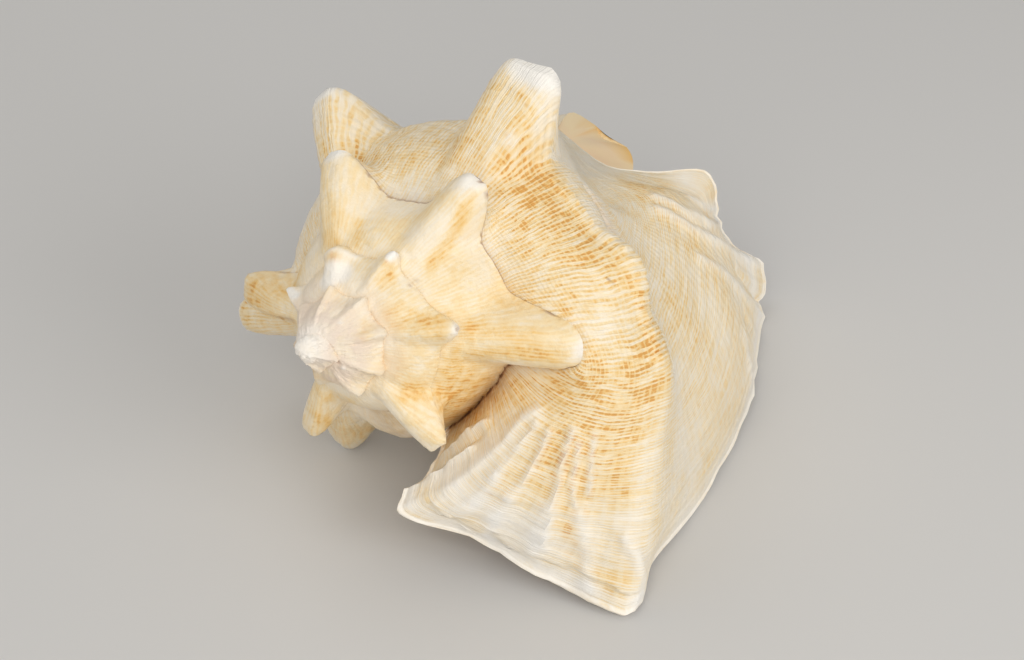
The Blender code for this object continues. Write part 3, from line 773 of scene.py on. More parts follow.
@dataclass(frozen=True)
class Net:
    """How closely the looks' mesh follows the surface: columns along the coil, rows across it."""

    column_steps: tuple = (
        (0, 10, 1.3), (10, 84, 0.95), (84, 106.5, 0.5), (106.5, 108, 0.75), (108, 360, 1.3),
    )
    ramp_rows: int = 24
    ramp_crowding: float = 0.11
    finer: int = 3
    first_body_stations: tuple = (1.035, INNER_SUTURE)
    skirt_rows: int = 5
    body_rows: tuple = ((1.07, 1.6, 44), (1.6, 1.9, 30), (1.9, 2.0, 12))
    hollow_columns: int = 30
    rim_columns: int = 5
    hollow_steps: tuple = (0, 6, 16, 28, 43, 58, 73, 88, 103, 118, 133, 148, 163, HOLLOW_DEPTH)
    hollow_stations: tuple = (
        0, 0.16, 0.25, 0.45, 0.7, 0.88, 1, INNER_SUTURE, 1.11, 1.15, 1.22, 1.3, 1.38, 1.45, 1.53,
        1.6, 1.7, 1.8, 1.87, 1.94, 1.97, 2,
    )

    def turn(self) -> Array:
        """Growth angles of the columns in one turn, from 0 to 360 degrees."""
        runs = [
            np.linspace(start, end, round((end - start) / step), endpoint=False)
            for start, end, step in self.column_steps
        ]
        return np.concatenate(runs)

    def growths(self, first: float, last: float) -> Array:
        """Growth angles of all columns between two angles, both included."""
        turns = np.arange(math.floor(first / TURN), math.floor(last / TURN) + 1)
        every = np.sort((self.turn() + TURN * turns[:, None]).ravel())
        return every[(every >= first - SMALL) & (every <= last + SMALL)]

    def ramp(self, finer: int = 1) -> Array:
        """Stations of the rows on the ramp, closer near the suture and the shoulder."""
        even = np.linspace(0, 1, self.ramp_rows + 1)
        rows = even - self.ramp_crowding * np.sin(2 * np.pi * even)
        wanted = np.arange(self.ramp_rows * finer + 1) / finer
        return np.interp(wanted, np.arange(self.ramp_rows + 1), rows)

    def whole(self) -> Array:
        """Stations of the rows on the last whorl, from the suture to the canal end."""
        body = [np.linspace(start, end, rows + 1)[1:] for start, end, rows in self.body_rows]
        return np.concatenate([self.ramp(self.finer), self.first_body_stations, *body])


@dataclass
class Skin:
    """Puts the fine relief on the plain form, sheet by sheet, and marks where each finish lies."""

    whorls: Whorls
    net: Net
    strokes: tuple[Stroke, ...] = (*RIBS, *STAINS, *WEAR_STAIN_AND_SHADE)
    breaks: tuple[Break, ...] = BREAKS
    joins_body: float = 15.0
    end_calm: float = 0.08
    suture_reach: float = 0.14
    growth_wave: float = 0.13
    growth_waves_per_degree: float = 0.75
    cord_wave: float = 0.05
    cords_per_station: float = 22.0
    spire_lumps: float = 0.30
    apex_lumps: float = 0.34
    full_size_radius: float = 60.0
    least_size: float = 0.12
    lip_rise: tuple = (340, 40)
    chips_rise: tuple = (23.0, -8)
    chips_end: float = -500.0
    crest_bump: float = 2.3
    crest_bump_apart: float = 3.4
    crest_rise: tuple = (341, 8)
    crest_fall: tuple = (408, -12)
    crest_station: float = 0.965
    crest_width: float = 0.04
    layer_edge: tuple = (
        (0.28, 464.5), (0.31, 458.5), (0.37, 461.6), (0.40, 459.0), (0.455, 464.2), (0.485, 463.6),
        (0.5, 460.0), (0.56, 463.2), (0.61, 463.2), (0.64, 460.5), (0.7, 461.4), (0.77, 460.4),
        (0.84, 460.8), (0.95, 462.5),
    )
    layer_rise: tuple = (0.28, 0.03)
    layer_fall: tuple = (1.0, -0.05)
    layer_step: float = 1.5
    layer_slope: float = 0.7
    fresh_rise: tuple = (150.0, 100.0)
    notches: tuple = (
        (1.86, 0.012, 1.0), (1.765, 0.02, 2.4), (1.715, 0.008, 1.0), (1.655, 0.012, 1.0),
        (1.61, 0.014, 2.4), (1.545, 0.016, 2.0), (1.48, 0.014, 1.2), (1.4, 0.02, 0.8), (1.3, 0.03, 0.8),
    )
    notch_reach: float = 14.0
    notch_rise: tuple = (0.3, 0.1)
    notch_fall: tuple = (1.97, -0.05)
    ragged: float = 0.35
    apex_swell: float = 1.5
    apex_depth: float = 6.0
    apex_core: float = 1.2
    apex_width: float = 12.0
    # Strength, by growth angle, of the dark line along the suture: brown stain together with painted shade
    # in the crease.
    suture_stain_and_shade: tuple = (
        (-1332, 0.0), (-760, 0.15), (-330, 0.15), (20, 0.2), (110, 0.2), (190, 0.3), (300, 0.5),
        (335, 0.7), (345, 0.55), (390, 0.6), (400, 0.9), (435, 1.0), (468, 1.0),
    )
    suture_lines: tuple = ((1.0, 0.014), (0.3, 0.07))
    least_drop: float = 0.3
    drop_per_radius: float = 0.035
    least_bulge: float = 0.3
    bulge_share: float = 0.8
    bulge_speed: float = 1.15
    bulge_power: float = 0.8
    back_blend: float = 20.0
    rim_wear: float = 0.7

    def plain(self, growths: Array, stations: Array) -> Patch:
        """Sheet of the plain form."""
        return Patch(growths, stations, self.whorls.outside(growths, stations))

    def on_surface(self, path: Path) -> Array:
        """Points in space of a path that is given as growth angle and station."""
        return np.stack([self.whorls.outside([g], np.array([s]))[0, 0] for g, s in path])

    def waves(self, patch: Patch) -> Array:
        """Low waves of the growth lines, lumps of the spire, bumps of the crest, layers of the rim."""
        growth, station = np.meshgrid(patch.growths, patch.stations, indexing="ij")
        x, y, z = np.moveaxis(patch.points, -1, 0)
        radius = np.hypot(x, y)
        size = np.clip(radius / self.full_size_radius, self.least_size, 1)
        lip = rise(growth, *self.lip_rise)
        lines = wander(growth * self.growth_waves_per_degree + wander(station * 9, seed=2.0), seed=1.3)
        height = self.growth_wave * size * lines * (0.5 + lip)
        uneven = 0.6 * wander(growth * 0.2, seed=0.7)
        cords = np.sin(2 * np.pi * self.cords_per_station * station + uneven)
        height += self.cord_wave * lip * (station < 1) * cords
        broad = wander(x * 0.9 + 0.7 * y, seed=0.4) * wander(y * 0.8 - 0.5 * z, seed=1.9)
        lumps = broad + 0.5 * wander(z * 1.1 + 0.4 * x, seed=3.1)
        height += self.spire_lumps * size * (1 - lip) * lumps
        chips = wander(x * 1.9 - y, seed=0.9) * wander(y * 1.7 + z, seed=2.3)
        height += self.apex_lumps * chips * rise(radius, *self.chips_rise) * (growth < self.chips_end)
        inside = rise(growth, *self.crest_rise) * rise(growth, *self.crest_fall)
        uneven = 0.5 * wander(growth * 0.6, seed=1.1)
        beads = np.abs(np.sin(np.pi * growth / self.crest_bump_apart + uneven)) ** 0.7
        crest = np.exp(-(((station - self.crest_station) / self.crest_width) ** 2))
        height += self.crest_bump * inside * (beads - 0.2) * crest
        edge = np.interp(station, *zip(*self.layer_edge)) + 0.5 * wander(station * 70, seed=0.2)
        low = rise(station, *self.layer_rise) * rise(station, *self.layer_fall)
        height -= self.layer_step * low * rise(growth, edge, self.layer_slope)
        return height

    def raise_up(self, patch: Patch) -> Patch:
        """Adds waves and strokes to a plain sheet, and fills its masks."""
        height = self.waves(patch)
        for stroke in self.strokes:
            to = height if stroke.mark is Mark.RELIEF else patch.mask(stroke.mark.value)
            stroke.add(patch.points, self.on_surface(stroke.path), to)
        patch.mask(FRESH)[:] = rise(patch.growths, *self.fresh_rise)[:, None]
        calm = rise(patch.growths, PARIETAL_ANGLE, self.joins_body)[:, None]
        height = np.where(patch.stations > 1, height * calm, height)
        height *= rise(patch.stations, 2, -self.end_calm)
        patch.points = patch.points + height[..., None] * patch.outward()
        self.notch(patch)
        return patch

    def notch(self, patch: Patch) -> None:
        """Draws the lip's margin back between its lobes."""
        back = self.ragged * (1 + wander(patch.stations * 45, seed=0.6))
        for station, width, depth in self.notches:
            back = back + depth * np.exp(-(((patch.stations - station) / width) ** 2))
        back = back * rise(patch.stations, *self.notch_rise) * rise(patch.stations, *self.notch_fall)
        share = rise(patch.growths - LIP_ANGLE, -self.notch_reach, self.notch_reach) ** 2
        patch.points = patch.points - np.outer(share, back)[..., None] * patch.grown()

    def round_apex(self, points: Array) -> None:
        """Swells the first whorls, so that the apex is a worn knob and not a point."""
        radius = np.hypot(points[..., 0], points[..., 1])
        share = np.clip(1 - points[..., 2] / self.apex_depth, 0, 1)
        share *= np.minimum(radius / self.apex_core, 1)
        swell = 1 + self.apex_swell * share * (radius < self.apex_width) / np.maximum(radius, SMALL)
        points[..., :2] *= swell[..., None]

    def broken(self, points: Array) -> Array:
        """The points, with the broken spines' ends cut off."""
        for end in self.breaks:
            points = end.cut(points, self.whorls)
        return points

    def follow_suture(self, patch: Patch, shoulder: Array) -> None:
        """Moves a sheet's first row onto the foot of the turn before, and its next rows with it.

        Args:
            patch: The sheet to move.
            shoulder: A point for each column.
        """
        reach = np.clip(1 - patch.stations / self.suture_reach, 0, 1) ** 2
        patch.points += reach[None, :, None] * (shoulder - patch.points[:, 0])[:, None]
        # Darkens the suture seam: brown stain and painted shade in the crease between whorls.
        stain_and_shade = np.interp(patch.growths, *zip(*self.suture_stain_and_shade))
        line = sum(share * np.exp(-((patch.stations / width) ** 2)) for share, width in self.suture_lines)
        crevice = patch.mask(Mark.CREVICE.value)
        crevice += np.outer(stain_and_shade, line)

    def skirt(self, spire: Patch) -> Patch:
        """Underside of the spire's shoulder and spines, down to the foot where the next whorl joins."""
        growths = spire.growths
        edge = spire.points[:, -1]
        thick = self.whorls.push(growths)[2]
        free = 1 - np.interp(growths, *zip(*self.whorls.held))
        foot = self.whorls.foot(growths) + edge - self.whorls.shoulder(growths)
        foot[:, 2] += free * (self.least_drop + self.drop_per_radius * self.whorls.radius(growths))
        share = np.linspace(0, 1, self.net.skirt_rows)
        bulge = np.sin(np.pi * np.minimum(share * self.bulge_speed, 1)) ** self.bulge_power
        points = edge[:, None] + share[None, :, None] * (foot - edge)[:, None]
        points[..., 2] += np.outer(free * (thick * self.bulge_share + self.least_bulge), bulge)
        masks = {name: np.repeat(mask[:, -1:], len(share), 1) for name, mask in spire.masks.items()}
        return Patch(growths, np.full(len(share), 1.0), points, masks)

    def sheets(self) -> list[Patch]:
        """All sheets of the shell, in the shell's own frame, in millimetres."""
        net, per_turn = self.net, len(self.net.turn())
        spire_growths = net.growths(FIRST_ANGLE, PARIETAL_ANGLE)
        last_growths = net.growths(PARIETAL_ANGLE, RIM_GROWTH)
        spire = self.raise_up(self.plain(spire_growths, net.ramp()))
        last = self.raise_up(self.plain(last_growths, net.whole()))

        spire.points[:per_turn, 0] = 0
        spire.points[0] = 0
        for turn in range(4):
            now = slice(turn * per_turn, min((turn + 1) * per_turn, len(spire_growths)))
            if turn:
                before = skirt.points[:, -1][now.start - per_turn : now.stop - per_turn]
                piece = Patch(spire_growths[now], spire.stations, spire.points[now])
                self.follow_suture(piece, before)
                spire.points[now] = piece.points
                spire.mask(Mark.CREVICE.value)[now] += piece.mask(Mark.CREVICE.value)
            skirt = self.skirt(spire)
        feet = skirt.points[len(spire_growths) - per_turn - 1 :, -1]
        self.follow_suture(last, feet[: len(last_growths)])
        coarse = np.arange(net.ramp_rows + 1) * net.finer
        last.points[0, 0] = feet[0]
        spire.points[-1] = last.points[0, coarse]
        skirt.points[-1] = spire.points[-1, -1]
        for sheet in (spire, skirt, last):
            sheet.points = self.broken(sheet.points)
            self.round_apex(sheet.points)
        return [spire, last, skirt, *self.mouth(spire, last)]

    def mouth(self, spire: Patch, last: Patch) -> list[Patch]:
        """Rim of the lip and the walls of the hollow behind it."""
        net, stations = self.net, last.stations
        old = PARIETAL_ANGLE - np.array(net.hollow_steps, float)
        new = old + TURN
        new[0] = RIM_GROWTH
        rows = np.array(net.hollow_stations)
        wall = self.whorls.inside(new, old, rows)
        back_rows = rows[rows >= INNER_SUTURE]
        back = self.whorls.parietal(old, back_rows)

        depths = np.linspace(0, HOLLOW_DEPTH, net.hollow_columns + 1)
        fine_back = stations[stations >= INNER_SUTURE - SMALL]
        wall = self.finer(wall, net.hollow_steps, rows, depths, stations)
        back = self.finer(back, net.hollow_steps, back_rows, depths, fine_back)
        offset = last.points[0, -len(fine_back) :] - back[0]
        back += ease(1 - depths / self.back_blend)[:, None, None] * offset
        ends = self.whorls.outside([RIM_GROWTH, LIP_ANGLE], stations)
        moved = last.points[-1] - ends[0]
        wall += ease(1 - depths / self.notch_reach)[:, None, None] * moved

        edge = ends[1] + moved
        middle = (last.points[-1] + wall[0]) / 2
        half, tip = last.points[-1] - middle, edge - middle
        turned = np.linspace(0, np.pi, net.rim_columns)
        rim = np.stack([middle + half * np.cos(a) + tip * np.sin(a) for a in turned])
        rim[0], rim[-1] = last.points[-1], wall[0]
        start, over = stations.tolist().index(1.0) + 1, net.rim_columns // 2 + 1
        rim[:over, 0] = spire.points[-over:, -1]
        rim[over:, 0] = last.points[0, start : start + net.rim_columns - over]
        rim[:, -1] = last.points[-1, -1]

        low = len(stations) - len(fine_back)
        far = np.concatenate([np.repeat(back[-1:, 0], low, 0), back[-1]])
        around = np.linspace(RIM_GROWTH, LIP_ANGLE, net.rim_columns)
        closed = np.stack([wall[-1], far])
        rim_sheet = Patch(around, stations, rim)
        wall_sheet = Patch(LIP_ANGLE - depths, stations, wall)
        back_sheet = Patch(PARIETAL_ANGLE - depths, fine_back, back)
        end_sheet = Patch(LIP_ANGLE - depths[-1] - np.array([0.0, 1.0]), stations, closed)
        made = [rim_sheet, wall_sheet, back_sheet, end_sheet]
        for patch in made:
            patch.mask(FRESH)[:] = 1.0
        rim_sheet.mask(Mark.WORN.value)[:] = self.rim_wear
        for patch in (wall_sheet, back_sheet):
            patch.mask(DEEP)[:] = (depths / HOLLOW_DEPTH)[:, None]
            for stroke in (stroke for stroke in self.strokes if stroke.mark is Mark.OCHRE):
                stroke.add(patch.points, self.on_surface(stroke.path), patch.mask(stroke.mark.value))
        end_sheet.mask(DEEP)[:] = 1.0
        return made

    @staticmethod
    def finer(
        points: Array, columns: Sequence, rows: Sequence, new_columns: Array, new_rows: Array
    ) -> Array:
        """The same sheet with more columns and rows, along smooth curves through its points."""
        across = curve_through(new_columns, columns, points)
        return np.moveaxis(curve_through(new_rows, rows, np.moveaxis(across, 1, 0)), 0, 1)


@dataclass
class ConchShell:
    """The shell as one closed piece."""

    rest: Rest = field(default_factory=Rest)
    whorls: Whorls = field(default_factory=Whorls)
    net: Net = field(default_factory=Net)
    lip_widths: tuple = ((377, 70.0), (LIP_ANGLE, 125.0))
    spine_share: float = 0.8
    line_lengths: tuple = ((0, 0.0), (1, 65.0), (2, 200.0))
    weld: float = 1e-6
    gap_weld: float = 3e-5
    border_digits: int = 6
    hole_sides: int = 8
    sharp_angle: float = 52.0
    first_lining_sheet: int = 4

    def build(self) -> bpy.types.Object:
        """Builds the shell's mesh.

        Returns:
            The shell's object, at the origin, with its place in its mesh.
        """
        sheets = Skin(self.whorls, self.net).sheets()
        bm = bmesh.new()
        for sheet in sheets:
            columns, rows = sheet.points.shape[:2]
            bmesh.ops.create_grid(bm, x_segments=columns - 1, y_segments=rows - 1, size=1.0)
        mesh = bpy.data.meshes.new("shell_surface")
        bm.to_mesh(mesh)
        bm.free()
        self.lay_out(mesh, sheets)
        self.close(mesh, sheets)
        mesh.shade_smooth()
        mesh.set_sharp_from_angle(angle=math.radians(self.sharp_angle))
        return put_in_scene("shell_surface", mesh)

    def lay_out(self, mesh: bpy.types.Mesh, sheets: list[Patch]) -> None:
        """Moves the flat grids onto the sheets, and writes their growth lines and masks."""
        flat = np.zeros(len(mesh.vertices) * 3)
        mesh.vertices.foreach_get("co", flat)
        flat = flat.reshape(-1, 3)
        placed = np.zeros_like(flat)
        lines = np.zeros((len(flat), 2))
        masks = {name: np.zeros(len(flat)) for name in MASKS}
        start = 0
        for sheet in sheets:
            columns, rows = sheet.points.shape[:2]
            part = slice(start, start + columns * rows)
            column = np.rint((flat[part, 0] + 1) / 2 * (columns - 1)).astype(int)
            row = np.rint((flat[part, 1] + 1) / 2 * (rows - 1)).astype(int)
            placed[part] = self.rest.place(sheet.points)[column, row]
            lines[part, 0] = self.along_growth(sheet.growths)[column]
            lines[part, 1] = self.across(sheet.stations)[row]
            for name in MASKS:
                masks[name][part] = np.clip(sheet.mask(name), 0, 1)[column, row]
            start = part.stop
        low, high = (np.array(corner) for corner in CAD_BOX)
        mesh.vertices.foreach_set("co", np.clip(placed, low, high).ravel())
        faces = [(sheet.points.shape[0] - 1) * (sheet.points.shape[1] - 1) for sheet in sheets]
        lining = np.arange(len(sheets)) >= self.first_lining_sheet
        finish = np.repeat(lining.astype(int), faces)
        mesh.polygons.foreach_set("material_index", finish)
        layer = mesh.uv_layers.new(name="growth_lines")
        owners = np.zeros(len(mesh.loops), int)
        mesh.loops.foreach_get("vertex_index", owners)
        layer.uv.foreach_set("vector", (lines[owners] * UV_PER_MM).ravel())
        for name in MASKS:
            attribute = mesh.attributes.new(name, "FLOAT", "POINT")
            attribute.data.foreach_set("value", masks[name].astype(np.float32))

    def along_growth(self, growths: Array) -> Array:
        """Distance in millimetres that the shoulder has grown, at growth angles."""
        angles = np.arange(FIRST_ANGLE, LIP_ANGLE + 1)
        widths = np.interp(angles, *zip(*self.lip_widths))
        plain = self.whorls.radius(angles) + self.spine_share * self.whorls.push(angles)[0]
        radii = np.maximum(plain, np.where(angles > self.lip_widths[0][0], widths, 0))
        distance = np.concatenate([[0.0], np.cumsum(np.radians(1.0) * radii[1:])])
        return np.interp(growths, angles, distance)

    def across(self, stations: Array) -> Array:
        """Distance in millimetres from the suture, at stations of the lip."""
        return np.interp(stations, *zip(*self.line_lengths))

    def close(self, mesh: bpy.types.Mesh, sheets: list[Patch]) -> None:
        """Gives the spire's last column the rows of the last whorl, and welds the sheets."""
        bm = bmesh.new()
        bm.from_mesh(mesh)
        border = self.rest.place(sheets[0].points[-1])
        fine = self.rest.place(sheets[1].points[0, : self.net.ramp_rows * self.net.finer + 1])
        ends = {tuple(np.round(point, self.border_digits)) for point in border}
        columns, rows = sheets[0].points.shape[:2]
        bm.verts.ensure_lookup_table()
        spire = bm.verts[: columns * rows]
        places = {v: tuple(np.round(np.array(v.co), self.border_digits)) for v in spire if v.is_boundary}
        on_border = {v for v, place in places.items() if place in ends}
        edges = [e for e in bm.edges if e.is_boundary and set(e.verts) <= on_border]
        made = bmesh.ops.subdivide_edges(bm, edges=edges, cuts=self.net.finer - 1)
        for thing in made["geom_inner"]:
            if isinstance(thing, bmesh.types.BMVert):
                distance = np.linalg.norm(fine - np.array(thing.co), axis=1)
                thing.co = fine[distance.argmin()]
        bmesh.ops.remove_doubles(bm, verts=bm.verts, dist=self.weld)
        twins: dict[frozenset, list] = {}
        for face in bm.faces:
            twins.setdefault(frozenset(face.verts), []).append(face)
        flat = [face for pair in twins.values() if len(pair) > 1 for face in pair]
        bmesh.ops.delete(bm, geom=flat, context="FACES_ONLY")
        gaps = list({v for e in bm.edges if not e.is_manifold for v in e.verts})
        bmesh.ops.remove_doubles(bm, verts=gaps, dist=self.gap_weld)
        bmesh.ops.dissolve_degenerate(bm, dist=self.weld, edges=bm.edges)
        bmesh.ops.delete(bm, geom=[e for e in bm.edges if e.is_wire], context="EDGES")
        bmesh.ops.holes_fill(bm, edges=[e for e in bm.edges if e.is_boundary], sides=self.hole_sides)
        bmesh.ops.recalc_face_normals(bm, faces=bm.faces)
        open_edges = sum(not e.is_manifold for e in bm.edges)
        log.info("shell: %d faces, %d open edges", len(bm.faces), open_edges)
        bm.to_mesh(mesh)
        bm.free()


@dataclass(frozen=True)
class Studio:
    """Plain pale floor, soft light and the camera at the photograph's angle."""

    camera_place: tuple[float, float, float] = (0.33947, -0.50816, 0.51618)
    azimuth: float = 34.3
    elevation: float = 38.0
    lens: float = 70.3125
    sensor: float = 36.0
    floor_colour: Colour = from_srgb(212, 210, 207)
    floor_roughness: float = 0.9
    floor_size: float = 6.0
    clip_start: float = 0.01
    sky_strength: float = 0.385
    lights: tuple = (
        ("key", (-0.8, 0.15, 1.45), 1.0, 3.9, (1, 0.99, 0.965)),
        ("fill", (0.55, -1.3, 1.1), 1.2, 9.9, (1, 0.99, 0.97)),
        ("side", (1.4, -0.2, 0.75), 1.0, 9.6, (1, 0.99, 0.97)),
    )

    def floor(self) -> bpy.types.Object:
        """Builds the floor."""
        bm = bmesh.new()
        bmesh.ops.create_grid(bm, x_segments=1, y_segments=1, size=self.floor_size / 2)
        mesh = bpy.data.meshes.new("studio_floor")
        bm.to_mesh(mesh)
        bm.free()
        material, surface = new_material("studio_floor")
        surface.inputs["Base Color"].default_value = (*self.floor_colour, 1)
        surface.inputs["Roughness"].default_value = self.floor_roughness
        mesh.materials.append(material)
        return put_in_scene("studio_floor", mesh)

    def light(self, name: str, place: tuple, size: float, power: float, warmth: Colour) -> None:
        """Adds a soft square light that looks at the shell."""
        data = bpy.data.lights.new(name, "AREA")
        data.size = size
        data.energy = power
        data.color = warmth
        lamp = put_in_scene(name, data)
        lamp.location = place
        lamp.rotation_euler = (-Vector(place)).to_track_quat("-Z", "Y").to_euler()

    def camera(self) -> None:
        """Adds the camera."""
        data = bpy.data.cameras.new("camera")
        data.lens = self.lens
        data.sensor_width = self.sensor
        data.clip_start = self.clip_start
        camera = put_in_scene("camera", data)
        turned, raised = math.radians(self.azimuth), math.radians(self.elevation)
        ahead = Vector(
            (-math.sin(turned) * math.cos(raised), math.cos(turned) * math.cos(raised), -math.sin(raised))
        )
        camera.location = self.camera_place
        camera.rotation_euler = ahead.to_track_quat("-Z", "Y").to_euler()
        bpy.context.scene.camera = camera

    def build(self) -> None:
        """Sets up the whole studio."""
        self.floor()
        for light in self.lights:
            self.light(*light)
        world = bpy.data.worlds.new("studio")
        world.use_nodes = True
        sky = world.node_tree.nodes["Background"]
        sky.inputs["Color"].default_value = (1, 1, 1, 1)
        sky.inputs["Strength"].default_value = self.sky_strength
        scene = bpy.context.scene
        scene.world = world
        scene.view_settings.view_transform = "Standard"
        self.camera()


Socket = bpy.types.NodeSocket


class Wiring:
    """Adds nodes to one node tree and links them."""

    def __init__(self, tree: bpy.types.NodeTree) -> None:
        """Starts on a tree."""
        self.tree = tree

    def node(self, kind: str, inputs: dict | None = None, **settings: object) -> bpy.types.Node:
        """Adds a node.

        Args:
            kind: The node's type.
            inputs: What goes into each of its sockets: another socket, or a plain value.
            settings: Values of the node's own properties.

        Returns:
            The node.
        """
        made = self.tree.nodes.new(kind)
        for name, value in settings.items():
            setattr(made, name, value)
        for name, value in (inputs or {}).items():
            self.feed(made.inputs[name], value)
        return made

    def feed(self, socket: Socket, value: object) -> None:
        """Links a socket, or gives it a plain value."""
        if isinstance(value, Socket):
            self.tree.links.new(value, socket)
        elif isinstance(value, tuple) and socket.type == "RGBA":
            socket.default_value = (*value, 1)
        else:
            socket.default_value = value

    def math(self, operation: str, *values: object) -> Socket:
        """Result of a Math node."""
        inputs = dict(enumerate(values))
        return self.node("ShaderNodeMath", inputs, operation=operation).outputs[0]

    def plus(self, *values: object) -> Socket:
        """Sum of some values."""
        return reduce(lambda total, value: self.math("ADD", total, value), values)

    def times(self, *values: object) -> Socket:
        """Product of some values."""
        return reduce(lambda total, value: self.math("MULTIPLY", total, value), values)

    def step(self, value: object, low: float, high: float, to: tuple = (0.0, 1.0)) -> Socket:
        """Smooth step of a value between two limits, onto the range of to."""
        inputs = {"Value": value, "From Min": low, "From Max": high, "To Min": to[0], "To Max": to[1]}
        return self.node("ShaderNodeMapRange", inputs, interpolation_type="SMOOTHSTEP").outputs["Result"]

    def flat_vector(self, x: object, y: object) -> Socket:
        """Vector of two values and 0."""
        return self.node("ShaderNodeCombineXYZ", {0: x, 1: y}).outputs[0]

    def noise(self, vector: object, scale: float, detail: float = 2.0, rough: float = 0.5) -> Socket:
        """Noise, from 0 to 1, with about one cell for each 1/scale along the vector."""
        inputs = {"Vector": vector, "Scale": scale, "Detail": detail, "Roughness": rough}
        return self.node("ShaderNodeTexNoise", inputs).outputs[0]

    def mix(self, share: object, plain: object, other: object) -> Socket:
        """Colour between two colours."""
        inputs = {0: share, 6: plain, 7: other}
        return self.node("ShaderNodeMix", inputs, data_type="RGBA", clamp_factor=True).outputs[2]

    def shades(self, value: object, stops: Sequence[tuple[float, Colour]]) -> Socket:
        """Colour ramp.

        Args:
            value: Where on the ramp, from 0 to 1.
            stops: Place and colour of each stop.

        Returns:
            The colour.
        """
        made = self.node("ShaderNodeValToRGB", {"Fac": value})
        ramp = made.color_ramp
        while len(ramp.elements) < len(stops):
            ramp.elements.new(1.0)
        for element, (place, colour) in zip(ramp.elements, stops):
            element.position = place
            element.color = (*colour, 1)
        return made.outputs["Color"]

    def attribute(self, name: str) -> Socket:
        """Value of one of the mesh's masks."""
        return self.node("ShaderNodeAttribute", attribute_name=name).outputs["Fac"]

    def lengths(self, name: str) -> list[Socket]:
        """Distances in millimetres that the mesh's growth lines say: along the growth, and across it."""
        lines = self.node("ShaderNodeUVMap", uv_map=name).outputs[0]
        place = self.node("ShaderNodeSeparateXYZ", {0: lines}).outputs
        return [self.times(place[i], MM_PER_UV) for i in range(2)]

    def bump(self, surface: bpy.types.Node, height: object, strength: float, distance: float) -> None:
        """Gives a surface fine relief, with the distance in metres."""
        inputs = {"Height": height, "Strength": strength, "Distance": distance}
        self.feed(surface.inputs["Normal"], self.node("ShaderNodeBump", inputs).outputs["Normal"])


@dataclass(frozen=True)
class GrowthLines:
    """Node group that draws an even series of uneven lines along the shell's growth lines."""

    name: str = "growth_lines"
    wobble_scale: float = 70.0
    wobble_size: float = 4.0
    wave_share: float = 0.22

    def group(self) -> bpy.types.NodeTree:
        """Builds the group, or finds it when it is there.

        Returns:
            A group with inputs Apart, Long, Wobble and Even, in millimetres and shares, and the
            output Lines.
        """
        found = bpy.data.node_groups.get(self.name)
        if found:
            return found
        tree = bpy.data.node_groups.new(self.name, "ShaderNodeTree")
        for name, value in (("Apart", 2.0), ("Long", 15.0), ("Wobble", 1.0), ("Even", 0.5)):
            socket = tree.interface.new_socket(name, in_out="INPUT", socket_type="NodeSocketFloat")
            socket.default_value = value
        tree.interface.new_socket("Lines", in_out="OUTPUT", socket_type="NodeSocketFloat")
        wiring = Wiring(tree)
        given = wiring.node("NodeGroupInput").outputs
        along, across = wiring.lengths(self.name)
        thing = wiring.node("ShaderNodeTexCoord").outputs["Object"]
        wobble = wiring.math("SUBTRACT", wiring.noise(thing, self.wobble_scale, 3.0), 0.5)
        along = wiring.math("MULTIPLY_ADD", wobble, wiring.times(given["Wobble"], self.wobble_size), along)
        turns = wiring.math("DIVIDE", along, given["Apart"])
        place = wiring.flat_vector(turns, wiring.math("DIVIDE", across, given["Long"]))
        streaks = wiring.noise(place, 1.0, 2.0)
        wave = wiring.math("SINE", wiring.times(turns, 2 * math.pi))
        even = wiring.math("MULTIPLY_ADD", wiring.times(wave, given["Even"]), self.wave_share, streaks)
        output = wiring.node("NodeGroupOutput")
        wiring.feed(output.inputs["Lines"], even)
        return tree

    def draw(self, wiring: Wiring, apart: float, long: float, wobble: float, even: float) -> Socket:
        """Places the group in a material."""
        given = {"Apart": apart, "Long": long, "Wobble": wobble, "Even": even}
        return wiring.node("ShaderNodeGroup", given, node_tree=self.group()).outputs["Lines"]


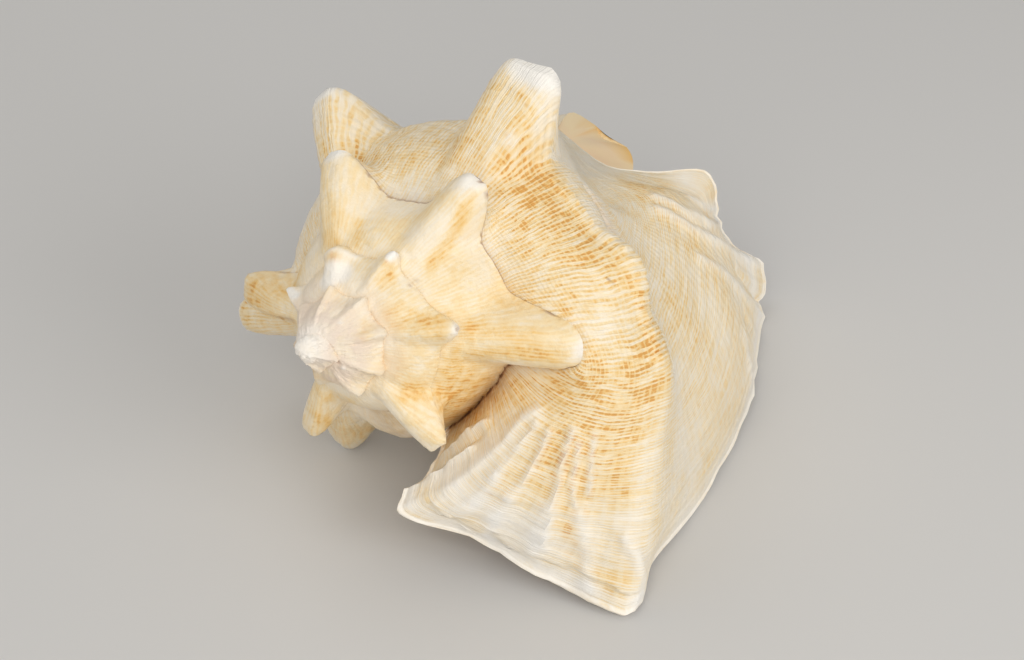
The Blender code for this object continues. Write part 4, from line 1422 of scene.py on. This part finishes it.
@dataclass(frozen=True)
class WeatheredShell:
    """Outside of the shell: cream with ochre growth lines, worn white, with sutures, cracks and pits
    darkened brown, partly as stain and partly as painted shade.
    """

    white: Colour = from_srgb(254, 249, 240)
    shell: Colour = from_srgb(252, 244, 230)
    cream: Colour = from_srgb(252, 240, 218)
    pale_ochre: Colour = from_srgb(250, 226, 180)
    ochre: Colour = from_srgb(243, 202, 130)
    deep_ochre: Colour = from_srgb(226, 166, 86)
    chalk: Colour = from_srgb(238, 219, 200)
    # Brown of sutures, cracks, pits and grooves: real stain mixed with painted shade.
    stain_and_shade: Colour = from_srgb(150, 96, 50)
    darkest_stain_and_shade: Colour = from_srgb(84, 58, 40)
    roughness: float = 0.5
    cord_apart: float = 2.9
    cord_wobble: float = 3.2
    broad_noise: tuple = (42.0, 3.0)
    mottle_noise: tuple = (330.0, 3.0, 0.6)
    blotch_noise: tuple = (150.0, 4.0, 0.65)
    wobble_noise: tuple = (90.0, 3.0)
    colour_lines: tuple = (1.65, 13.0, 0.8, 0.5)
    relief_lines: tuple = (0.8, 12.0, 0.35, 0.5)
    bump: tuple = (0.6, 0.0005)
    lines: GrowthLines = GrowthLines()

    def material(self) -> bpy.types.Material:
        """Builds the material."""
        material, surface = new_material("weathered_shell")
        wiring = Wiring(material.node_tree)
        thing = wiring.node("ShaderNodeTexCoord").outputs["Object"]
        masks = {name: wiring.attribute(name) for name in MASKS if name != DEEP}
        fresh = masks[FRESH]
        across = wiring.lengths(self.lines.name)[1]

        def by_age(old: float, new: float) -> Socket:
            """Value that changes from the old spire to the fresh last whorl."""
            return wiring.step(fresh, 0.0, 1.0, (old, new))

        broad = wiring.step(wiring.noise(thing, *self.broad_noise), 0.38, 0.62)
        mottle = wiring.noise(thing, *self.mottle_noise)
        blotch = wiring.noise(thing, *self.blotch_noise)
        wobble = wiring.times(wiring.noise(thing, *self.wobble_noise), self.cord_wobble)
        turns = wiring.times(across, 2 * math.pi / self.cord_apart)
        cord = wiring.math("SINE", wiring.plus(turns, wobble))
        gap = wiring.times(
            wiring.step(cord, 0.1, 0.8), wiring.step(blotch, 0.28, 0.62, (0.05, 0.55)), fresh
        )
        raw = self.lines.draw(wiring, *self.colour_lines)
        streak = wiring.step(raw, 0.38, 0.66)
        region = wiring.plus(
            wiring.times(broad, 0.22),
            by_age(0.2, 0.13),
            wiring.times(masks["ochre"], wiring.step(blotch, 0.28, 0.66, (0.45, 0.85))),
        )
        drawn = wiring.times(streak, by_age(0.30, 0.85), wiring.math("SUBTRACT", 1.0, gap))
        dashes = wiring.times(drawn, region, wiring.step(mottle, 0.3, 0.6, (0.55, 1.2)))
        soft = by_age(0.62, 0.42)
        wash = wiring.times(region, wiring.step(blotch, 0.28, 0.72, (0.55, 1.05)), soft)
        places = (0.0, 0.08, 0.34, 0.76, 1.0)
        colours = (self.shell, self.cream, self.pale_ochre, self.ochre, self.deep_ochre)
        colour = wiring.shades(wiring.plus(dashes, wash), tuple(zip(places, colours)))
        for name, noise, low, high, to, finish in (
            ("chalk", blotch, 0.3, 0.6, (0.3, 0.95), self.chalk),
            ("worn", blotch, 0.25, 0.5, (0.6, 1.0), self.white),
            # Crevice mask: brown stain together with painted shade in pits, grooves and under the spines.
            ("crevice", mottle, 0.25, 0.6, (0.7, 1.1), self.stain_and_shade),
        ):
            share = wiring.times(masks[name], wiring.step(noise, low, high, to))
            colour = wiring.mix(share, colour, finish)
        # Darkest brown where the crevice mask is strongest: deep stain together with painted shade.
        colour = wiring.mix(wiring.step(share, 0.75, 1.15, (0.0, 0.85)), colour, self.darkest_stain_and_shade)
        wiring.feed(surface.inputs["Base Color"], colour)
        rough = wiring.step(mottle, 0.2, 0.8, (self.roughness - 0.08, self.roughness + 0.1))
        wiring.feed(surface.inputs["Roughness"], wiring.plus(rough, wiring.times(masks["chalk"], 0.25)))

        fine = self.lines.draw(wiring, *self.relief_lines)
        height = wiring.plus(
            wiring.times(wiring.step(fine, 0.3, 0.7), by_age(0.12, 0.5)),
            wiring.times(wiring.step(raw, 0.3, 0.75), fresh, -0.3),
            wiring.times(cord, fresh, 0.2),
            wiring.times(mottle, 0.6),
            wiring.times(wiring.step(blotch, 0.3, 0.7), by_age(1.1, 0.2)),
        )
        wiring.bump(surface, height, *self.bump)
        return material


@dataclass(frozen=True)
class MouthLining:
    """Smooth lining of the mouth: glossy cream that turns to peach deeper in."""

    edge: Colour = from_srgb(249, 224, 178)
    peach: Colour = from_srgb(243, 203, 170)
    deep: Colour = from_srgb(226, 160, 124)
    ochre: Colour = from_srgb(240, 190, 104)
    roughness: float = 0.34
    coat: float = 0.15
    coat_roughness: float = 0.2
    waves: tuple = (5.0, 30.0, 0.8, 0.5)
    bump: tuple = (0.25, 0.0006)
    lines: GrowthLines = GrowthLines()

    def material(self) -> bpy.types.Material:
        """Builds the material."""
        material, surface = new_material("mouth_lining")
        wiring = Wiring(material.node_tree)
        thing = wiring.node("ShaderNodeTexCoord").outputs["Object"]
        cloud = wiring.noise(thing, 30.0, 3.0)
        uneven = wiring.times(wiring.math("SUBTRACT", cloud, 0.5), 0.4)
        deep = wiring.plus(wiring.attribute(DEEP), uneven)
        colour = wiring.shades(deep, ((0.0, self.edge), (0.25, self.peach), (0.9, self.deep)))
        waves = self.lines.draw(wiring, *self.waves)
        colour = wiring.mix(wiring.step(waves, 0.4, 0.8, (0.0, 0.3)), colour, self.edge)
        stained = wiring.times(wiring.attribute("ochre"), wiring.step(cloud, 0.3, 0.6, (0.6, 1.0)))
        colour = wiring.mix(stained, colour, self.ochre)
        wiring.feed(surface.inputs["Base Color"], colour)
        rough = wiring.step(cloud, 0.3, 0.7, (self.roughness, self.roughness + 0.12))
        wiring.feed(surface.inputs["Roughness"], rough)
        surface.inputs["Coat Weight"].default_value = self.coat
        surface.inputs["Coat Roughness"].default_value = self.coat_roughness
        wiring.bump(surface, waves, *self.bump)
        return material


def main() -> None:
    """Builds the shell and its studio, and reports each piece."""
    logging.basicConfig(level=logging.INFO, format="%(name)s: %(message)s")
    shell = ConchShell().build()
    for finish in (WeatheredShell(), MouthLining()):
        shell.data.materials.append(finish.material())
    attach(shell, "root")
    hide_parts(PART)
    log.info("shell: %d vertices", len(shell.data.vertices))
    Studio().build()


if __name__ == "__main__":
    main()
